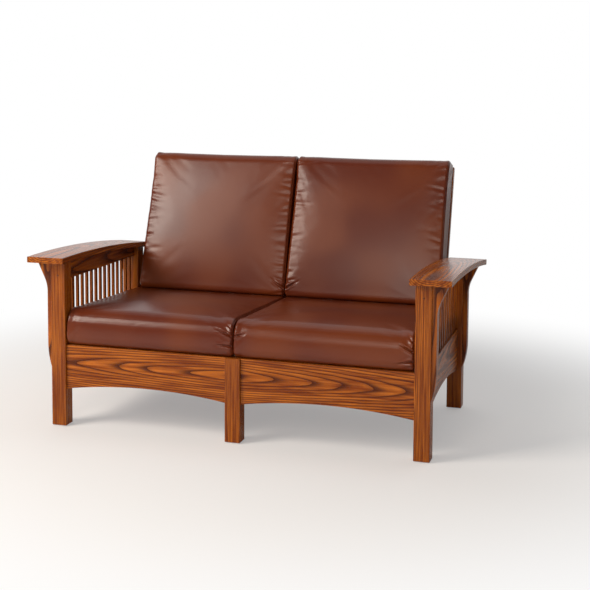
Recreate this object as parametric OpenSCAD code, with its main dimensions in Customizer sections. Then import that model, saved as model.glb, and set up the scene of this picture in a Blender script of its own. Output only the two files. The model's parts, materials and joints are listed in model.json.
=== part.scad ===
// Mission loveseat: bowed arms, slatted sides, a reclined back frame and four loose cushions.
// X runs along the width, Y from front to back, Z up from the floor.
// The modules draw with Y = 0 at the front faces of the front posts.
// in_place() then centres the whole loveseat over the origin.

/* [Posts and legs] */
// Width over the outer faces of the corner posts
post_span = 1422; // [1340:1:1520]
// Depth over the outer faces of the corner posts
post_depth = 758; // [720:1:800]
// Side of the square posts and legs
post_size = 57; // [54:1:62]
// Radius on the long edges of posts, legs and arms
edge_ease = 2.5; // [1.5:0.25:4]
// Height of the glides under the posts and legs
glide_h = 3; // [2:0.5:6]
// Diameter of the glides
glide_d = 30; // [22:1:38]
// Diameter of a glide's nail
glide_nail_d = 4; // [3:0.5:6]
// Length of a glide's nail
glide_nail_len = 16; // [10:1:24]

/* [Arms] */
// Height of the arm's top at its front end
arm_top_h = 642; // [600:1:690]
// Thickness of the arm
arm_t = 22; // [18:0.5:30]
// Width of the arm
arm_w = 144; // [120:1:170]
// How far the arm reaches inwards past the posts
arm_inner_reach = 14; // [6:1:20]
// How far the arm reaches in front of the front posts
arm_front_reach = 44; // [20:1:70]
// How far the arm reaches behind the rear posts
arm_rear_reach = 65; // [40:1:90]
// Radius of the bow along the arm's top
arm_bow_r = 6000; // [5000:100:9000]

/* [Corbels] */
// Thickness of a corbel from front to back
corbel_t = 38; // [20:1:44]
// Full height of a corbel below the arm
corbel_h = 407; // [340:1:410]
// How far the straight stem stands out from the post
corbel_stem = 17; // [12:0.5:24]
// How far the head stands out just below the arm
corbel_head = 57; // [46:1:66]
// Slope of the head from upright, in degrees
corbel_lean = 25; // [20:1:32]
// Radius that blends the head into the stem
corbel_blend_r = 115; // [60:5:150]
// Height of the tapering foot
corbel_foot_h = 100; // [60:1:130]
// How far the front corbels lie behind the posts' front faces
corbel_setback = 8; // [2:1:16]

/* [Side panels] */
// Thickness of the side rails
side_rail_t = 22; // [18:0.5:28]
// Height of the upper rail at its rear end, below the arm
upper_rail_end_h = 30; // [29:0.5:50]
// How much higher the upper rail's lower edge lies at its front end
upper_rail_rise = 11; // [0:1:16]
// Height of the lower rail's top edge
lower_rail_top_h = 318; // [290:1:340]
// Height of the lower rail's ends
lower_rail_bottom_h = 150; // [120:1:180]
// Rise of the arch under the lower rail
side_arch_rise = 38; // [15:1:60]
// Number of slats in each side
side_slats = 15; // [8:1:17]
// Width of a side slat
side_slat_w = 14; // [8:0.5:20]
// Thickness of a side slat
side_slat_t = 9; // [6:0.5:12]
// Gap between the posts and the first and last side slats
side_slat_margin = 22; // [10:1:40]

/* [Aprons and rear rails] */
// Height of the aprons' top edge
apron_top_h = 309; // [290:1:320]
// Height of the aprons' lower corners
apron_bottom_h = 142; // [120:1:180]
// Rise of the arch under each apron
apron_arch_rise = 25; // [10:1:45]
// Thickness of the aprons
apron_t = 22; // [18:0.5:28]
// How far the aprons lie behind the posts' front faces
apron_setback = 10; // [4:0.5:14]
// Height of the rear rails' top edge, where the back frame stands
rear_rail_top_h = 300; // [290:1:310]
// Height of the rear rails' lower edge
rear_rail_bottom_h = 160; // [130:1:200]
// Thickness of the rear rails
rear_rail_t = 25; // [25:0.5:28]
// How far the rear rails lie behind the rear posts' front faces
rear_rail_setback = 13; // [10:0.5:18]

/* [Joinery] */
// Length of the rails' tenons
tenon_len = 20; // [14:1:20]
// Thickness of the rails' tenons
tenon_t = 12; // [8:0.5:13]
// Shoulder above and below a rail's tenon
tenon_shoulder = 20; // [10:1:30]
// Clearance round a tenon in its mortise
glue_gap = 0.1; // [0.05:0.05:0.3]
// Free space at the bottom of a mortise
mortise_slack = 1; // [0.5:0.5:2]
// Depth that slats enter the rails
slat_tenon = 9; // [6:1:12]
// Diameter of the wooden screw plugs
plug_d = 9.5; // [8:0.5:12]
// Depth of the wooden screw plugs
plug_len = 6; // [4:0.5:8]
// How far a plug's dome stands proud
plug_dome = 1; // [0.5:0.25:2]
// Shank diameter of the rail screws
screw_d = 5; // [4:0.5:6]
// Length of the rail screws
screw_len = 64; // [56:1:80]

/* [Seat deck] */
// Slope of the seat down towards the back, in degrees
seat_slope = 3; // [2:0.25:4]
// Number of seat slats under each cushion
deck_slats = 5; // [4:1:7]
// Width of a seat slat
deck_slat_w = 70; // [50:1:76]
// Thickness of a seat slat
deck_slat_t = 12; // [10:0.5:18]
// Width of the cleats that carry the seat slats
cleat_w = 22; // [18:1:28]
// Height of the cleats' outer faces
cleat_h = 30; // [24:1:36]
// Height of the centre stretcher
stretcher_h = 55; // [50:1:60]
// Height of the centre stretcher's lower edge
stretcher_bottom_h = 200; // [185:1:202]
// Length of a corner block along the apron
corner_block_len = 90; // [60:1:120]
// Height of a corner block
corner_block_h = 34; // [25:1:40]
// Height of the corner blocks' lower faces
corner_block_bottom_h = 192; // [189:1:200]

/* [Back frame] */
// Recline of the back, in degrees from upright
recline = 19; // [15:0.5:22]
// Gap between the back frame and each rear post, filled by a bracket
back_side_gap = 22; // [18:1:32]
// Length of the stiles along the slope
back_len = 666; // [600:1:720]
// Thickness of the back frame
back_t = 24; // [20:0.5:26]
// Width of the stiles
stile_w = 50; // [44:1:64]
// Width of the muntin in the middle of the back
muntin_w = 60; // [50:1:80]
// Width of the top rail
top_rail_w = 70; // [50:1:90]
// Width of the bottom rail
bottom_rail_w = 75; // [60:1:90]
// Number of slats in each half of the back
back_slats = 5; // [3:1:7]
// Width of a back slat
back_slat_w = 58; // [40:1:64]
// Thickness of a back slat
back_slat_t = 10; // [8:0.5:12]
// How far the back bolts lie below the arms' rear ends
bolt_drop = 52; // [46:1:80]
// Wood above the bolt in a bracket
bracket_end = 30; // [20:1:34]
// Shank diameter of the back bolts
bolt_d = 8; // [6:0.5:10]
// Radial clearance of a bolt in its hole
bolt_clear = 0.2; // [0.1:0.05:0.4]
// Diameter of the bolts' round heads and nuts
bolt_head_d = 17; // [14:0.5:20]
// Thickness of the bolts' heads and nuts
bolt_head_t = 5; // [3:0.5:7]
// Height of the lower bracket screws above the rear rails
bracket_screw_low = 22; // [16:1:28]
// Height of the upper bracket screws above the rear rails
bracket_screw_high = 65; // [50:1:75]
// Shank diameter of the screws that hold the brackets
bracket_screw_d = 5; // [4:0.5:6]
// Length of the screws that hold the brackets
bracket_screw_len = 48; // [40:1:55]
// Diameter of the dowels under the back frame
dowel_d = 8; // [6:0.5:10]
// Length of the dowels under the back frame
dowel_len = 36; // [24:2:40]

/* [Cushions] */
// Thickness of the seat cushions at their edges
seat_pad_t = 130; // [100:1:135]
// Extra height of a seat cushion's crown
seat_crown = 18; // [6:1:24]
// Radius of the roll at the top of the seat cushions' fronts
seat_roll = 44; // [25:1:50]
// Radius of the roll at the foot of the seat cushions' fronts
seat_under_roll = 32; // [15:1:36]
// How far the seat cushions reach in front of the aprons
seat_pad_front = 16; // [5:1:25]
// Clearance between the seat cushions and the rear posts' front faces
seat_pad_rear_gap = 3; // [2:1:10]
// Thickness of the back cushions at their edges
back_pad_t = 100; // [80:1:120]
// Extra thickness of a back cushion's crown
back_crown = 18; // [6:1:26]
// Radius of the roll along the back cushions' front edges
back_roll = 28; // [18:1:36]
// How far the back cushions stand above the frame's top
back_pad_rise = 12; // [0:1:24]
// Radius of the roll along a cushion's rear edges
pad_rear_roll = 24; // [15:1:32]
// Radius of the roll where a cushion's face meets its end panels
pad_end_roll = 17; // [8:1:24]
// How far a cushion's end panels swell out
pad_belly = 5; // [1:0.5:8]
// How far a cushion's sides draw in between the corners
pad_draw = 3; // [1:0.5:8]
// Share of the crown that is left at a cushion's ends
pad_end_crown = 0.45; // [0.2:0.05:0.7]
// Clearance round the cushions
pad_clear = 1; // [0.5:0.25:3]

/* [Hidden] */
oak = "#9c4f22";
dark_oak = "#7a3a18";
leather = "#7d3b2b";
steel = "#8d8f92";
nylon = "#2b2622";
post_out = post_span / 2;
post_in = post_out - post_size;
post_mid = post_out - post_size / 2;
leg_in = post_size / 2;
rear_post_y = post_depth - post_size;
side_clear = rear_post_y - post_size;
arm_x0 = post_in - arm_inner_reach;
arm_y0 = -arm_front_reach;
arm_y1 = post_depth + arm_rear_reach;
bow_z = arm_top_h - arm_bow_r;
under_r = arm_bow_r - arm_t;
upper_rail_bottom_h = under_arm_h(post_depth) - upper_rail_end_h;
bolt_h = under_arm_h(post_depth) - bolt_drop;
bracket_top_h = bolt_h + bracket_end;
arm_angle = asin((arm_y1 - arm_y0) / arm_bow_r);
apron_y0 = apron_setback;
apron_y1 = apron_setback + apron_t;
rear_rail_y0 = rear_post_y + rear_rail_setback;
rear_rail_y1 = rear_rail_y0 + rear_rail_t;
side_x0 = post_mid - side_rail_t / 2;
side_x1 = post_mid + side_rail_t / 2;
side_slat_y0 = post_size + side_slat_margin + side_slat_w / 2;
side_slat_step = (side_clear - side_slat_w - 2 * side_slat_margin) / (side_slats - 1);
stile_x1 = post_in - back_side_gap;
stile_x0 = stile_x1 - stile_w;
bay_w = stile_x0 - muntin_w / 2;
back_gap = (bay_w - back_slats * back_slat_w) / (back_slats + 1);
deck_margin = 6;
deck_end_gap = 2;
deck_x0 = leg_in + deck_margin;
deck_x1 = post_in - deck_margin;
deck_gap = (deck_x1 - deck_x0 - deck_slats * deck_slat_w) / (deck_slats - 1);
corbel_rise = 12;
front_corbel_y = corbel_setback + corbel_t / 2;
rear_corbel_y = post_depth - post_size / 2;
arm_tenon_h = 12;
arm_tenon_w = 28;
upper_tenon_lift = 8;
front_tenon_h = 30;
rear_tenon_h = 22;
screw_head_h = 3.5;
stretcher_shoulder = 8;
bar_shoulder = 12;
bracket_gap = 2;
bracket_inset = 5;
bracket_foot = [rear_post_y + bracket_inset, rear_rail_top_h + bracket_gap];
bracket_head_y = back_face_y(bracket_top_h) - bracket_gap;
stile_tenon_z = 24;
bolt_proud = 3;
bolt_length = stile_w + back_side_gap + bolt_head_t + bolt_proud;
bolt_y = back_face_y(bolt_h) + back_t / cos(recline) / 2;
dowel_y = rear_rail_y0 + 0.6 * rear_rail_t;
pad_gap = 0.4;
seat_rear_crown = 2;
pad_arc_steps = 4;
pad_panel_steps = [4, 3, 8, 3];
pad_half_stations = 7;
arc_fn = 720;
back_rear_y = rear_rail_y0 + back_len * sin(recline) + back_t * cos(recline);
mid_y = (arm_y0 + back_rear_y) / 2;

// Height of the arm's underside at depth y
function under_arm_h(y) = bow_z + sqrt(under_r * under_r - (y - arm_y0) * (y - arm_y0));

// Height of the seat plane, on which the cushions lie, at depth y
function seat_h(y) = apron_top_h - (y - apron_y1) * tan(seat_slope);

// Depth of the back frame's front face at height z
function back_face_y(z) = rear_rail_y0 + (z - rear_rail_top_h) * tan(recline);

// Height of the upper side rail's lower edge at depth y
function upper_rail_h(y) = upper_rail_bottom_h + upper_rail_rise * (rear_post_y - y) / side_clear;

// Lower and upper end of the upper side rail's tenon, taller at the front
function upper_tenon(front) =
    let (z = upper_rail_h(front ? post_size : rear_post_y) + upper_tenon_lift)
    [z, z + (front ? front_tenon_h : rear_tenon_h)];

// Radius of an arch with the given chord and rise
function arch_r(chord, rise) = (chord * chord / 4 + rise * rise) / (2 * rise);

// Moves the drawing so that the whole loveseat stands centred over the origin
module in_place() {
    translate([0, -mid_y, 0]) children();
}

// The drawing at the right, or its mirror image at the left
module sided(right) {
    if (right) {
        children();
    } else {
        mirror([1, 0, 0]) children();
    }
}

// Extrudes a (Y, Z) outline along X
module across(x0, x1) {
    translate([x0, 0, 0]) rotate([90, 0, 90]) linear_extrude(x1 - x0) children();
}

// Extrudes an (X, Z) outline along Y
module along(y0, y1) {
    translate([0, y1, 0]) rotate([90, 0, 0]) linear_extrude(y1 - y0) children();
}

// A block given by its lowest and highest corners
module block(low, high) {
    translate(low) cube(high - low);
}

// A rectangle with rounded corners
module eased(size, r) {
    translate([r, 0]) square([size.x - 2 * r, size.y]);
    translate([0, r]) square([size.x, size.y - 2 * r]);
    for (x = [r, size.x - r], y = [r, size.y - r]) translate([x, y]) circle(r = r, $fn = 24);
}

// The (Y, Z) region below the arms
module under_arm_2d() {
    translate([arm_y0, bow_z]) circle(r = under_r, $fn = arc_fn);
}

// The disc that cuts an arch with the given chord, its lower corners at (x0, z0)
module arch_2d(x0, z0, chord, rise) {
    r = arch_r(chord, rise);
    translate([x0 + chord / 2, z0 + rise - r]) circle(r = r, $fn = arc_fn);
}

// Mortises for the two side rails, entering a post's face at face_y
module side_mortises(face_y, front) {
    depth = tenon_len + mortise_slack;
    y0 = front ? face_y - depth : face_y - 1;
    half = tenon_t / 2 + glue_gap;
    lower_tenon = [lower_rail_bottom_h + tenon_shoulder, lower_rail_top_h - tenon_shoulder];
    for (z = [lower_tenon, upper_tenon(front)]) {
        block([post_mid - half, y0, z[0] - glue_gap], [post_mid + half, y0 + depth + 1, z[1] + glue_gap]);
    }
}

// A slot across X for the tenons of an apron or rear rail
module rail_mortise(x0, x1, y, z0, z1) {
    half = tenon_t / 2 + glue_gap;
    block([x0, y - half, z0 - glue_gap], [x1, y + half, z1 + glue_gap]);
}

// The square tenon on a post's top, or its mortise in the arm
module arm_tenon(y, grow) {
    half = arm_tenon_w / 2 + grow;
    z = under_arm_h(y);
    block([post_mid - half, y - half, z - corbel_rise / 2],
        [post_mid + half, y + half, z + arm_tenon_h + grow]);
}

// The stepped bore for a rail screw and its plug, entering a post's outer face
module screw_bore() {
    translate([0, 0, -1]) cylinder(d = plug_d, h = plug_len + screw_head_h + 1, $fn = 32);
    cylinder(d = screw_d + 2 * glue_gap, h = post_size + 2, $fn = 24);
}

// Places children on the axis of one post's rail screw, pointing into the post
module screw_axis(front) {
    tenon = upper_tenon(front);
    z = (tenon[0] + tenon[1]) / 2;
    if (front) {
        translate([post_mid, 0, z]) rotate([-90, 0, 0]) children();
    } else {
        translate([post_mid, post_depth, z]) rotate([90, 0, 0]) children();
    }
}

// The bore for a glide's nail at the middle of a foot
module nail_bore(x, y) {
    translate([x, y, glide_h - 1]) cylinder(d = glide_nail_d, h = glide_nail_len + 2, $fn = 24);
}

module front_post(right) {
    color(oak) in_place() sided(right) difference() {
        union() {
            intersection() {
                translate([post_in, 0, glide_h])
                    linear_extrude(arm_top_h) eased([post_size, post_size], edge_ease);
                across(post_in, post_out) under_arm_2d();
            }
            arm_tenon(post_size / 2, 0);
        }
        side_mortises(post_size, true);
        rail_mortise(post_in - 1, post_in + tenon_len + mortise_slack, apron_y0 + apron_t / 2,
            apron_bottom_h + tenon_shoulder, apron_top_h - tenon_shoulder);
        screw_axis(true) screw_bore();
        nail_bore(post_mid, post_size / 2);
    }
}

module rear_post(right) {
    color(oak) in_place() sided(right) difference() {
        union() {
            intersection() {
                translate([post_in, rear_post_y, glide_h])
                    linear_extrude(arm_top_h) eased([post_size, post_size], edge_ease);
                across(post_in, post_out) under_arm_2d();
            }
            arm_tenon(post_depth - post_size / 2, 0);
        }
        side_mortises(rear_post_y, false);
        rail_mortise(post_in - 1, post_in + tenon_len + mortise_slack, rear_rail_y0 + rear_rail_t / 2,
            rear_rail_bottom_h + tenon_shoulder, rear_rail_top_h - tenon_shoulder);
        screw_axis(false) screw_bore();
        nail_bore(post_mid, post_depth - post_size / 2);
        bracket_screw_axes() translate([0, 0, back_side_gap - 1])
            cylinder(d = bracket_screw_d, h = bracket_screw_len, $fn = 24);
    }
}

// A leg in the middle, where the two aprons or the two rear rails meet
module centre_leg(y0, rail_y, z0, z1, stretcher_y) {
    color(oak) in_place() difference() {
        intersection() {
            translate([-leg_in, y0, glide_h])
                linear_extrude(arm_top_h) eased([post_size, post_size], edge_ease);
            across(-leg_in, leg_in) polygon([[y0, 0], [y0 + post_size, 0], each leg_top(y0)]);
        }
        for (side = [0, 1]) mirror([side, 0, 0])
            rail_mortise(leg_in - tenon_len - mortise_slack, leg_in + 1, rail_y, z0, z1);
        stretcher_tenon(stretcher_y, glue_gap, mortise_slack);
        nail_bore(0, y0 + post_size / 2);
    }
}

// The top of a centre leg from back to front: it keeps below the seat plane
function leg_top(y0) =
    y0 > 0 ? [[y0 + post_size, rear_rail_top_h], [y0, rear_rail_top_h]]
    : [[post_size, seat_h(post_size)], [apron_y1, apron_top_h], [0, apron_top_h]];

module centre_leg_front() {
    centre_leg(0, apron_y0 + apron_t / 2,
        apron_bottom_h + tenon_shoulder, apron_top_h - tenon_shoulder, post_size - tenon_len);
}

module centre_leg_rear() {
    centre_leg(rear_post_y, rear_rail_y0 + rear_rail_t / 2,
        rear_rail_bottom_h + tenon_shoulder, rear_rail_top_h - tenon_shoulder, rear_post_y);
}

// One tenon of the centre stretcher, or its mortise
module stretcher_tenon(y0, grow, slack) {
    inset = stretcher_shoulder - grow;
    block([-tenon_t / 2 - grow, y0 - slack, stretcher_bottom_h + inset],
        [tenon_t / 2 + grow, y0 + tenon_len + slack, stretcher_bottom_h + stretcher_h - inset]);
}

module centre_stretcher() {
    color(oak) in_place() {
        block([-side_rail_t / 2, post_size, stretcher_bottom_h],
            [side_rail_t / 2, rear_post_y, stretcher_bottom_h + stretcher_h]);
        stretcher_tenon(post_size - tenon_len, 0, 0);
        stretcher_tenon(rear_post_y, 0, 0);
    }
}

// A bowed board: its cross-section turns about a far axis below the seat
module arm(right) {
    color(oak) in_place() sided(right) difference() {
        translate([0, arm_y0, bow_z]) rotate([0, -90, 0])
            rotate_extrude(angle = arm_angle, $fn = arc_fn)
                translate([under_r, -arm_x0 - arm_w]) eased([arm_t, arm_w], edge_ease);
        for (y = [post_size / 2, post_depth - post_size / 2]) arm_tenon(y, glue_gap);
    }
}

// Outline of a corbel: the post's face at x = 0, the arm's underside at z = 0
module corbel_2d() {
    blend_x = corbel_stem + corbel_blend_r * (1 - cos(corbel_lean));
    head_h = (corbel_head - blend_x) / tan(corbel_lean);
    blend_z = -head_h - corbel_blend_r * sin(corbel_lean);
    foot_r = arch_r(2 * corbel_foot_h, corbel_stem);
    difference() {
        polygon([[0, corbel_rise], [corbel_head, corbel_rise], [corbel_head, 0], [blend_x, -head_h],
            [corbel_stem, blend_z], [corbel_stem, -corbel_h], [0, -corbel_h]]);
        translate([corbel_stem + corbel_blend_r, blend_z]) circle(r = corbel_blend_r, $fn = 180);
        difference() {
            translate([-1, -corbel_h - 1]) square([corbel_stem + 2, corbel_foot_h + 1]);
            translate([corbel_stem - foot_r, corbel_foot_h - corbel_h]) circle(r = foot_r, $fn = 360);
        }
    }
}

module corbel(right, y) {
    color(oak) in_place() sided(right) intersection() {
        translate([post_out, 0, under_arm_h(y)]) along(y - corbel_t / 2, y + corbel_t / 2) corbel_2d();
        across(post_out, post_out + 2 * corbel_head) under_arm_2d();
    }
}

// Evenly spaced slat centres along a side panel
function side_slat_y(i) = side_slat_y0 + i * side_slat_step;

// Mortises for the side slats, in the upper or the lower rail
module side_slat_mortises(upper) {
    half_t = side_slat_t / 2 + glue_gap;
    half_w = side_slat_w / 2 + glue_gap;
    deep = slat_tenon + mortise_slack;
    for (i = [0:side_slats - 1]) let (y = side_slat_y(i), z = upper ? upper_rail_h(y) : lower_rail_top_h) {
        z0 = upper ? z - 1 : z - deep;
        z1 = upper ? z + deep : z + 1;
        block([post_mid - half_t, y - half_w, z0], [post_mid + half_t, y + half_w, z1]);
    }
}

// One tenon of a side rail, at the front or the rear post
module side_tenon(front, z0, z1) {
    y = front ? post_size - tenon_len : rear_post_y;
    block([post_mid - tenon_t / 2, y, z0], [post_mid + tenon_t / 2, y + tenon_len, z1]);
}

module upper_side_rail(right) {
    color(oak) in_place() sided(right) difference() {
        union() {
            across(side_x0, side_x1) intersection() {
                polygon([[post_size, upper_rail_h(post_size)], [rear_post_y, upper_rail_h(rear_post_y)],
                    [rear_post_y, arm_top_h], [post_size, arm_top_h]]);
                under_arm_2d();
            }
            for (front = [true, false]) side_tenon(front, upper_tenon(front)[0], upper_tenon(front)[1]);
        }
        side_slat_mortises(true);
        for (front = [true, false]) screw_axis(front)
            cylinder(d = screw_d, h = plug_len + screw_len + mortise_slack, $fn = 24);
    }
}

module lower_side_rail(right) {
    color(oak) in_place() sided(right) difference() {
        union() {
            block([side_x0, post_size, lower_rail_bottom_h], [side_x1, rear_post_y, lower_rail_top_h]);
            for (front = [true, false])
                side_tenon(front, lower_rail_bottom_h + tenon_shoulder, lower_rail_top_h - tenon_shoulder);
        }
        side_slat_mortises(false);
        across(side_x0 - 1, side_x1 + 1)
            arch_2d(post_size, lower_rail_bottom_h, side_clear, side_arch_rise);
    }
}

module side_slat_row(right) {
    color(oak) in_place() sided(right) for (i = [0:side_slats - 1]) let (y = side_slat_y(i)) {
        block([post_mid - side_slat_t / 2, y - side_slat_w / 2, lower_rail_top_h - slat_tenon],
            [post_mid + side_slat_t / 2, y + side_slat_w / 2, upper_rail_h(y) + slat_tenon]);
    }
}

// A rail between a corner post and a centre leg, with a tenon at each end
module cross_rail(y0, y1, z0, z1, rise) {
    mid = (y0 + y1) / 2;
    along(y0, y1) difference() {
        translate([leg_in, z0]) square([post_in - leg_in, z1 - z0]);
        if (rise > 0) arch_2d(leg_in, z0, post_in - leg_in, rise);
    }
    block([leg_in - tenon_len, mid - tenon_t / 2, z0 + tenon_shoulder],
        [leg_in, mid + tenon_t / 2, z1 - tenon_shoulder]);
    block([post_in, mid - tenon_t / 2, z0 + tenon_shoulder],
        [post_in + tenon_len, mid + tenon_t / 2, z1 - tenon_shoulder]);
}

module apron(right) {
    color(oak) in_place() sided(right)
        cross_rail(apron_y0, apron_y1, apron_bottom_h, apron_top_h, apron_arch_rise);
}

module rear_rail(right) {
    color(oak) in_place() sided(right) difference() {
        cross_rail(rear_rail_y0, rear_rail_y1, rear_rail_bottom_h, rear_rail_top_h, 0);
        dowel_pair(mortise_slack);
    }
}

// A cleat whose top lies under the seat slats, with one upright face on a rail
module cleat(right, y0, y1) {
    top0 = seat_h(y0) - deck_slat_t;
    top1 = seat_h(y1) - deck_slat_t;
    color(dark_oak) in_place() sided(right) across(leg_in, post_in)
        polygon([[y0, top1 - cleat_h], [y1, top1 - cleat_h], [y1, top1], [y0, top0]]);
}

module seat_slat_row(right) {
    y0 = apron_y1 + deck_end_gap;
    y1 = rear_rail_y0 - deck_end_gap;
    color(dark_oak) in_place() sided(right) for (i = [0:deck_slats - 1]) {
        x = deck_x0 + i * (deck_slat_w + deck_gap);
        across(x, x + deck_slat_w)
            polygon([[y0, seat_h(y0)], [y1, seat_h(y1)],
                [y1, seat_h(y1) - deck_slat_t], [y0, seat_h(y0) - deck_slat_t]]);
    }
}

// A block that ties a rail to a side rail round the corner of a post
module corner_block(right, rail_y, post_y, reach_y) {
    color(dark_oak) in_place() sided(right) translate([0, 0, corner_block_bottom_h])
        linear_extrude(corner_block_h)
            polygon([[post_in - corner_block_len, rail_y], [post_in, rail_y], [post_in, post_y],
                [side_x0, post_y], [side_x0, reach_y]]);
}

// Places children in the back frame: X across, Y through its thickness, Z up its slope
module reclined() {
    translate([0, rear_rail_y0, rear_rail_top_h]) rotate([-recline, 0, 0]) children();
}

// Everything above the rear rails' top edge
module above_rear_rail() {
    block([-post_span, 0, rear_rail_top_h], [post_span, 2 * post_depth, rear_rail_top_h + back_len]);
}

// Places children on the axis of a back bolt, pointing outwards from the stile's inner face
module bolt_axis() {
    translate([stile_x0, bolt_y, bolt_h]) rotate([0, 90, 0]) children();
}

module bolt_bore() {
    bolt_axis() translate([0, 0, -1]) cylinder(d = bolt_d + 2 * bolt_clear, h = bolt_length, $fn = 24);
}

// Depth of a bracket's front edge at height z
function bracket_front_y(z) =
    let (rise = (z - bracket_foot.y) / (bracket_top_h - bracket_foot.y))
    bracket_foot.x + rise * (bracket_head_y - bracket_foot.x);

// Places children on the axes of a bracket's two screws, pointing outwards from the stile's outer face
module bracket_screw_axes() {
    for (rise = [bracket_screw_low, bracket_screw_high]) {
        z = rear_rail_top_h + rise;
        translate([stile_x1, (bracket_front_y(z) + post_depth) / 2, z]) rotate([0, 90, 0]) children();
    }
}

// A countersunk screw whose head is flush with z = 0
module bracket_screw() {
    cylinder(d1 = 2 * bracket_screw_d, d2 = bracket_screw_d, h = bracket_screw_d / 2, $fn = 24);
    cylinder(d = bracket_screw_d, h = bracket_screw_len, $fn = 24);
}

// Dowels that stand in the rear rail and carry the back frame
module dowel_pair(grow) {
    for (x = [muntin_w, stile_x1 - 2 * dowel_d])
        translate([x, dowel_y, rear_rail_top_h - dowel_len / 2 - grow])
            cylinder(d = dowel_d, h = dowel_len + 2 * grow, $fn = 24);
}

// The bars of the back frame are tenoned along the middle of their thickness
module back_bar(low, high, tenon_axis, len) {
    mid = back_t / 2;
    t = back_slat_t / 2;
    block([low.x, 0, low.y], [high.x, back_t, high.y]);
    if (tenon_axis == "x") {
        block([low.x - len, mid - t, low.y + bar_shoulder], [high.x + len, mid + t, high.y - bar_shoulder]);
    } else {
        block([low.x + bar_shoulder, mid - t, low.y - len], [high.x - bar_shoulder, mid + t, high.y + len]);
    }
}

// A mortise in the back frame, grown all round by the clearance
module back_mortise(low, high) {
    mid = back_t / 2;
    t = back_slat_t / 2 + glue_gap;
    block([low.x - glue_gap, mid - t, low.y - glue_gap], [high.x + glue_gap, mid + t, high.y + glue_gap]);
}

module back_stile(right) {
    deep = tenon_len + mortise_slack;
    color(oak) in_place() sided(right) difference() {
        intersection() {
            reclined() block([stile_x0, 0, 0], [stile_x1, back_t, back_len]);
            above_rear_rail();
        }
        reclined() {
            back_mortise([stile_x0 - 1, stile_tenon_z], [stile_x0 + deep, bottom_rail_w - bar_shoulder]);
            back_mortise([stile_x0 - 1, back_len - top_rail_w + bar_shoulder],
                [stile_x0 + deep, back_len - bar_shoulder]);
        }
        bolt_bore();
        dowel_pair(mortise_slack);
    }
}

module back_top_rail() {
    z0 = back_len - top_rail_w;
    color(oak) in_place() reclined() difference() {
        back_bar([-stile_x0, z0], [stile_x0, back_len], "x", tenon_len);
        muntin_mortise(z0 - 1, z0 + tenon_len + mortise_slack);
        for (side = [0, 1]) mirror([side, 0, 0]) back_slat_mortises(z0 - 1, z0 + slat_tenon);
    }
}

module muntin_mortise(z0, z1) {
    back_mortise([bar_shoulder - muntin_w / 2, z0], [muntin_w / 2 - bar_shoulder, z1]);
}

module back_bottom_rail() {
    z1 = bottom_rail_w;
    mid = back_t / 2;
    color(oak) in_place() difference() {
        intersection() {
            reclined() union() {
                block([-stile_x0, 0, 0], [stile_x0, back_t, z1]);
                block([-stile_x0 - tenon_len, mid - back_slat_t / 2, stile_tenon_z],
                    [stile_x0 + tenon_len, mid + back_slat_t / 2, z1 - bar_shoulder]);
            }
            above_rear_rail();
        }
        reclined() {
            muntin_mortise(z1 - tenon_len - mortise_slack, z1 + 1);
            for (side = [0, 1]) mirror([side, 0, 0]) back_slat_mortises(z1 - slat_tenon, z1 + 1);
        }
        for (side = [0, 1]) mirror([side, 0, 0]) dowel_pair(mortise_slack);
    }
}

module back_muntin() {
    color(oak) in_place() reclined()
        back_bar([-muntin_w / 2, bottom_rail_w], [muntin_w / 2, back_len - top_rail_w], "z", tenon_len);
}

// Left edge of slat i in the right half of the back
function back_slat_x(i) = muntin_w / 2 + back_gap + i * (back_slat_w + back_gap);

module back_slat_mortises(z0, z1) {
    for (i = [0:back_slats - 1]) back_mortise([back_slat_x(i), z0], [back_slat_x(i) + back_slat_w, z1]);
}

module back_slat_row(right) {
    mid = back_t / 2;
    color(oak) in_place() sided(right) reclined() for (i = [0:back_slats - 1]) {
        block([back_slat_x(i), mid - back_slat_t / 2, bottom_rail_w - slat_tenon],
            [back_slat_x(i) + back_slat_w, mid + back_slat_t / 2, back_len - top_rail_w + slat_tenon]);
    }
}

// A board between the rear post and the stile that carries the reclined back
module back_bracket(right) {
    rear_y = back_face_y(bracket_top_h) + back_t / cos(recline);
    color(dark_oak) in_place() sided(right) difference() {
        across(stile_x1, post_in)
            polygon([bracket_foot, [post_depth - bracket_inset, bracket_foot.y], [rear_y, bracket_top_h],
                [bracket_head_y, bracket_top_h]]);
        bolt_bore();
        bracket_screw_axes() bracket_screw();
    }
}

module bracket_screws() {
    color(steel) in_place() for (right = [true, false]) sided(right) bracket_screw_axes() bracket_screw();
}

module back_dowels() {
    color(oak) in_place() for (right = [true, false]) sided(right) dowel_pair(0);
}

// The bolts that hold the stiles to their brackets
module back_bolts() {
    color(steel) in_place() for (right = [true, false]) sided(right) bolt_axis() {
        cylinder(d = bolt_d, h = bolt_length, $fn = 24);
        translate([0, 0, -bolt_head_t])
            cylinder(d1 = bolt_head_d - bolt_head_t, d2 = bolt_head_d, h = bolt_head_t, $fn = 24);
    }
}

module back_nuts() {
    color(steel) in_place() for (right = [true, false]) sided(right)
        bolt_axis() translate([0, 0, post_in - stile_x0]) difference() {
            cylinder(d = bolt_head_d, h = bolt_head_t, $fn = 6);
            translate([0, 0, -1]) cylinder(d = bolt_d + 2 * glue_gap, h = bolt_head_t + 2, $fn = 24);
        }
}

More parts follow.
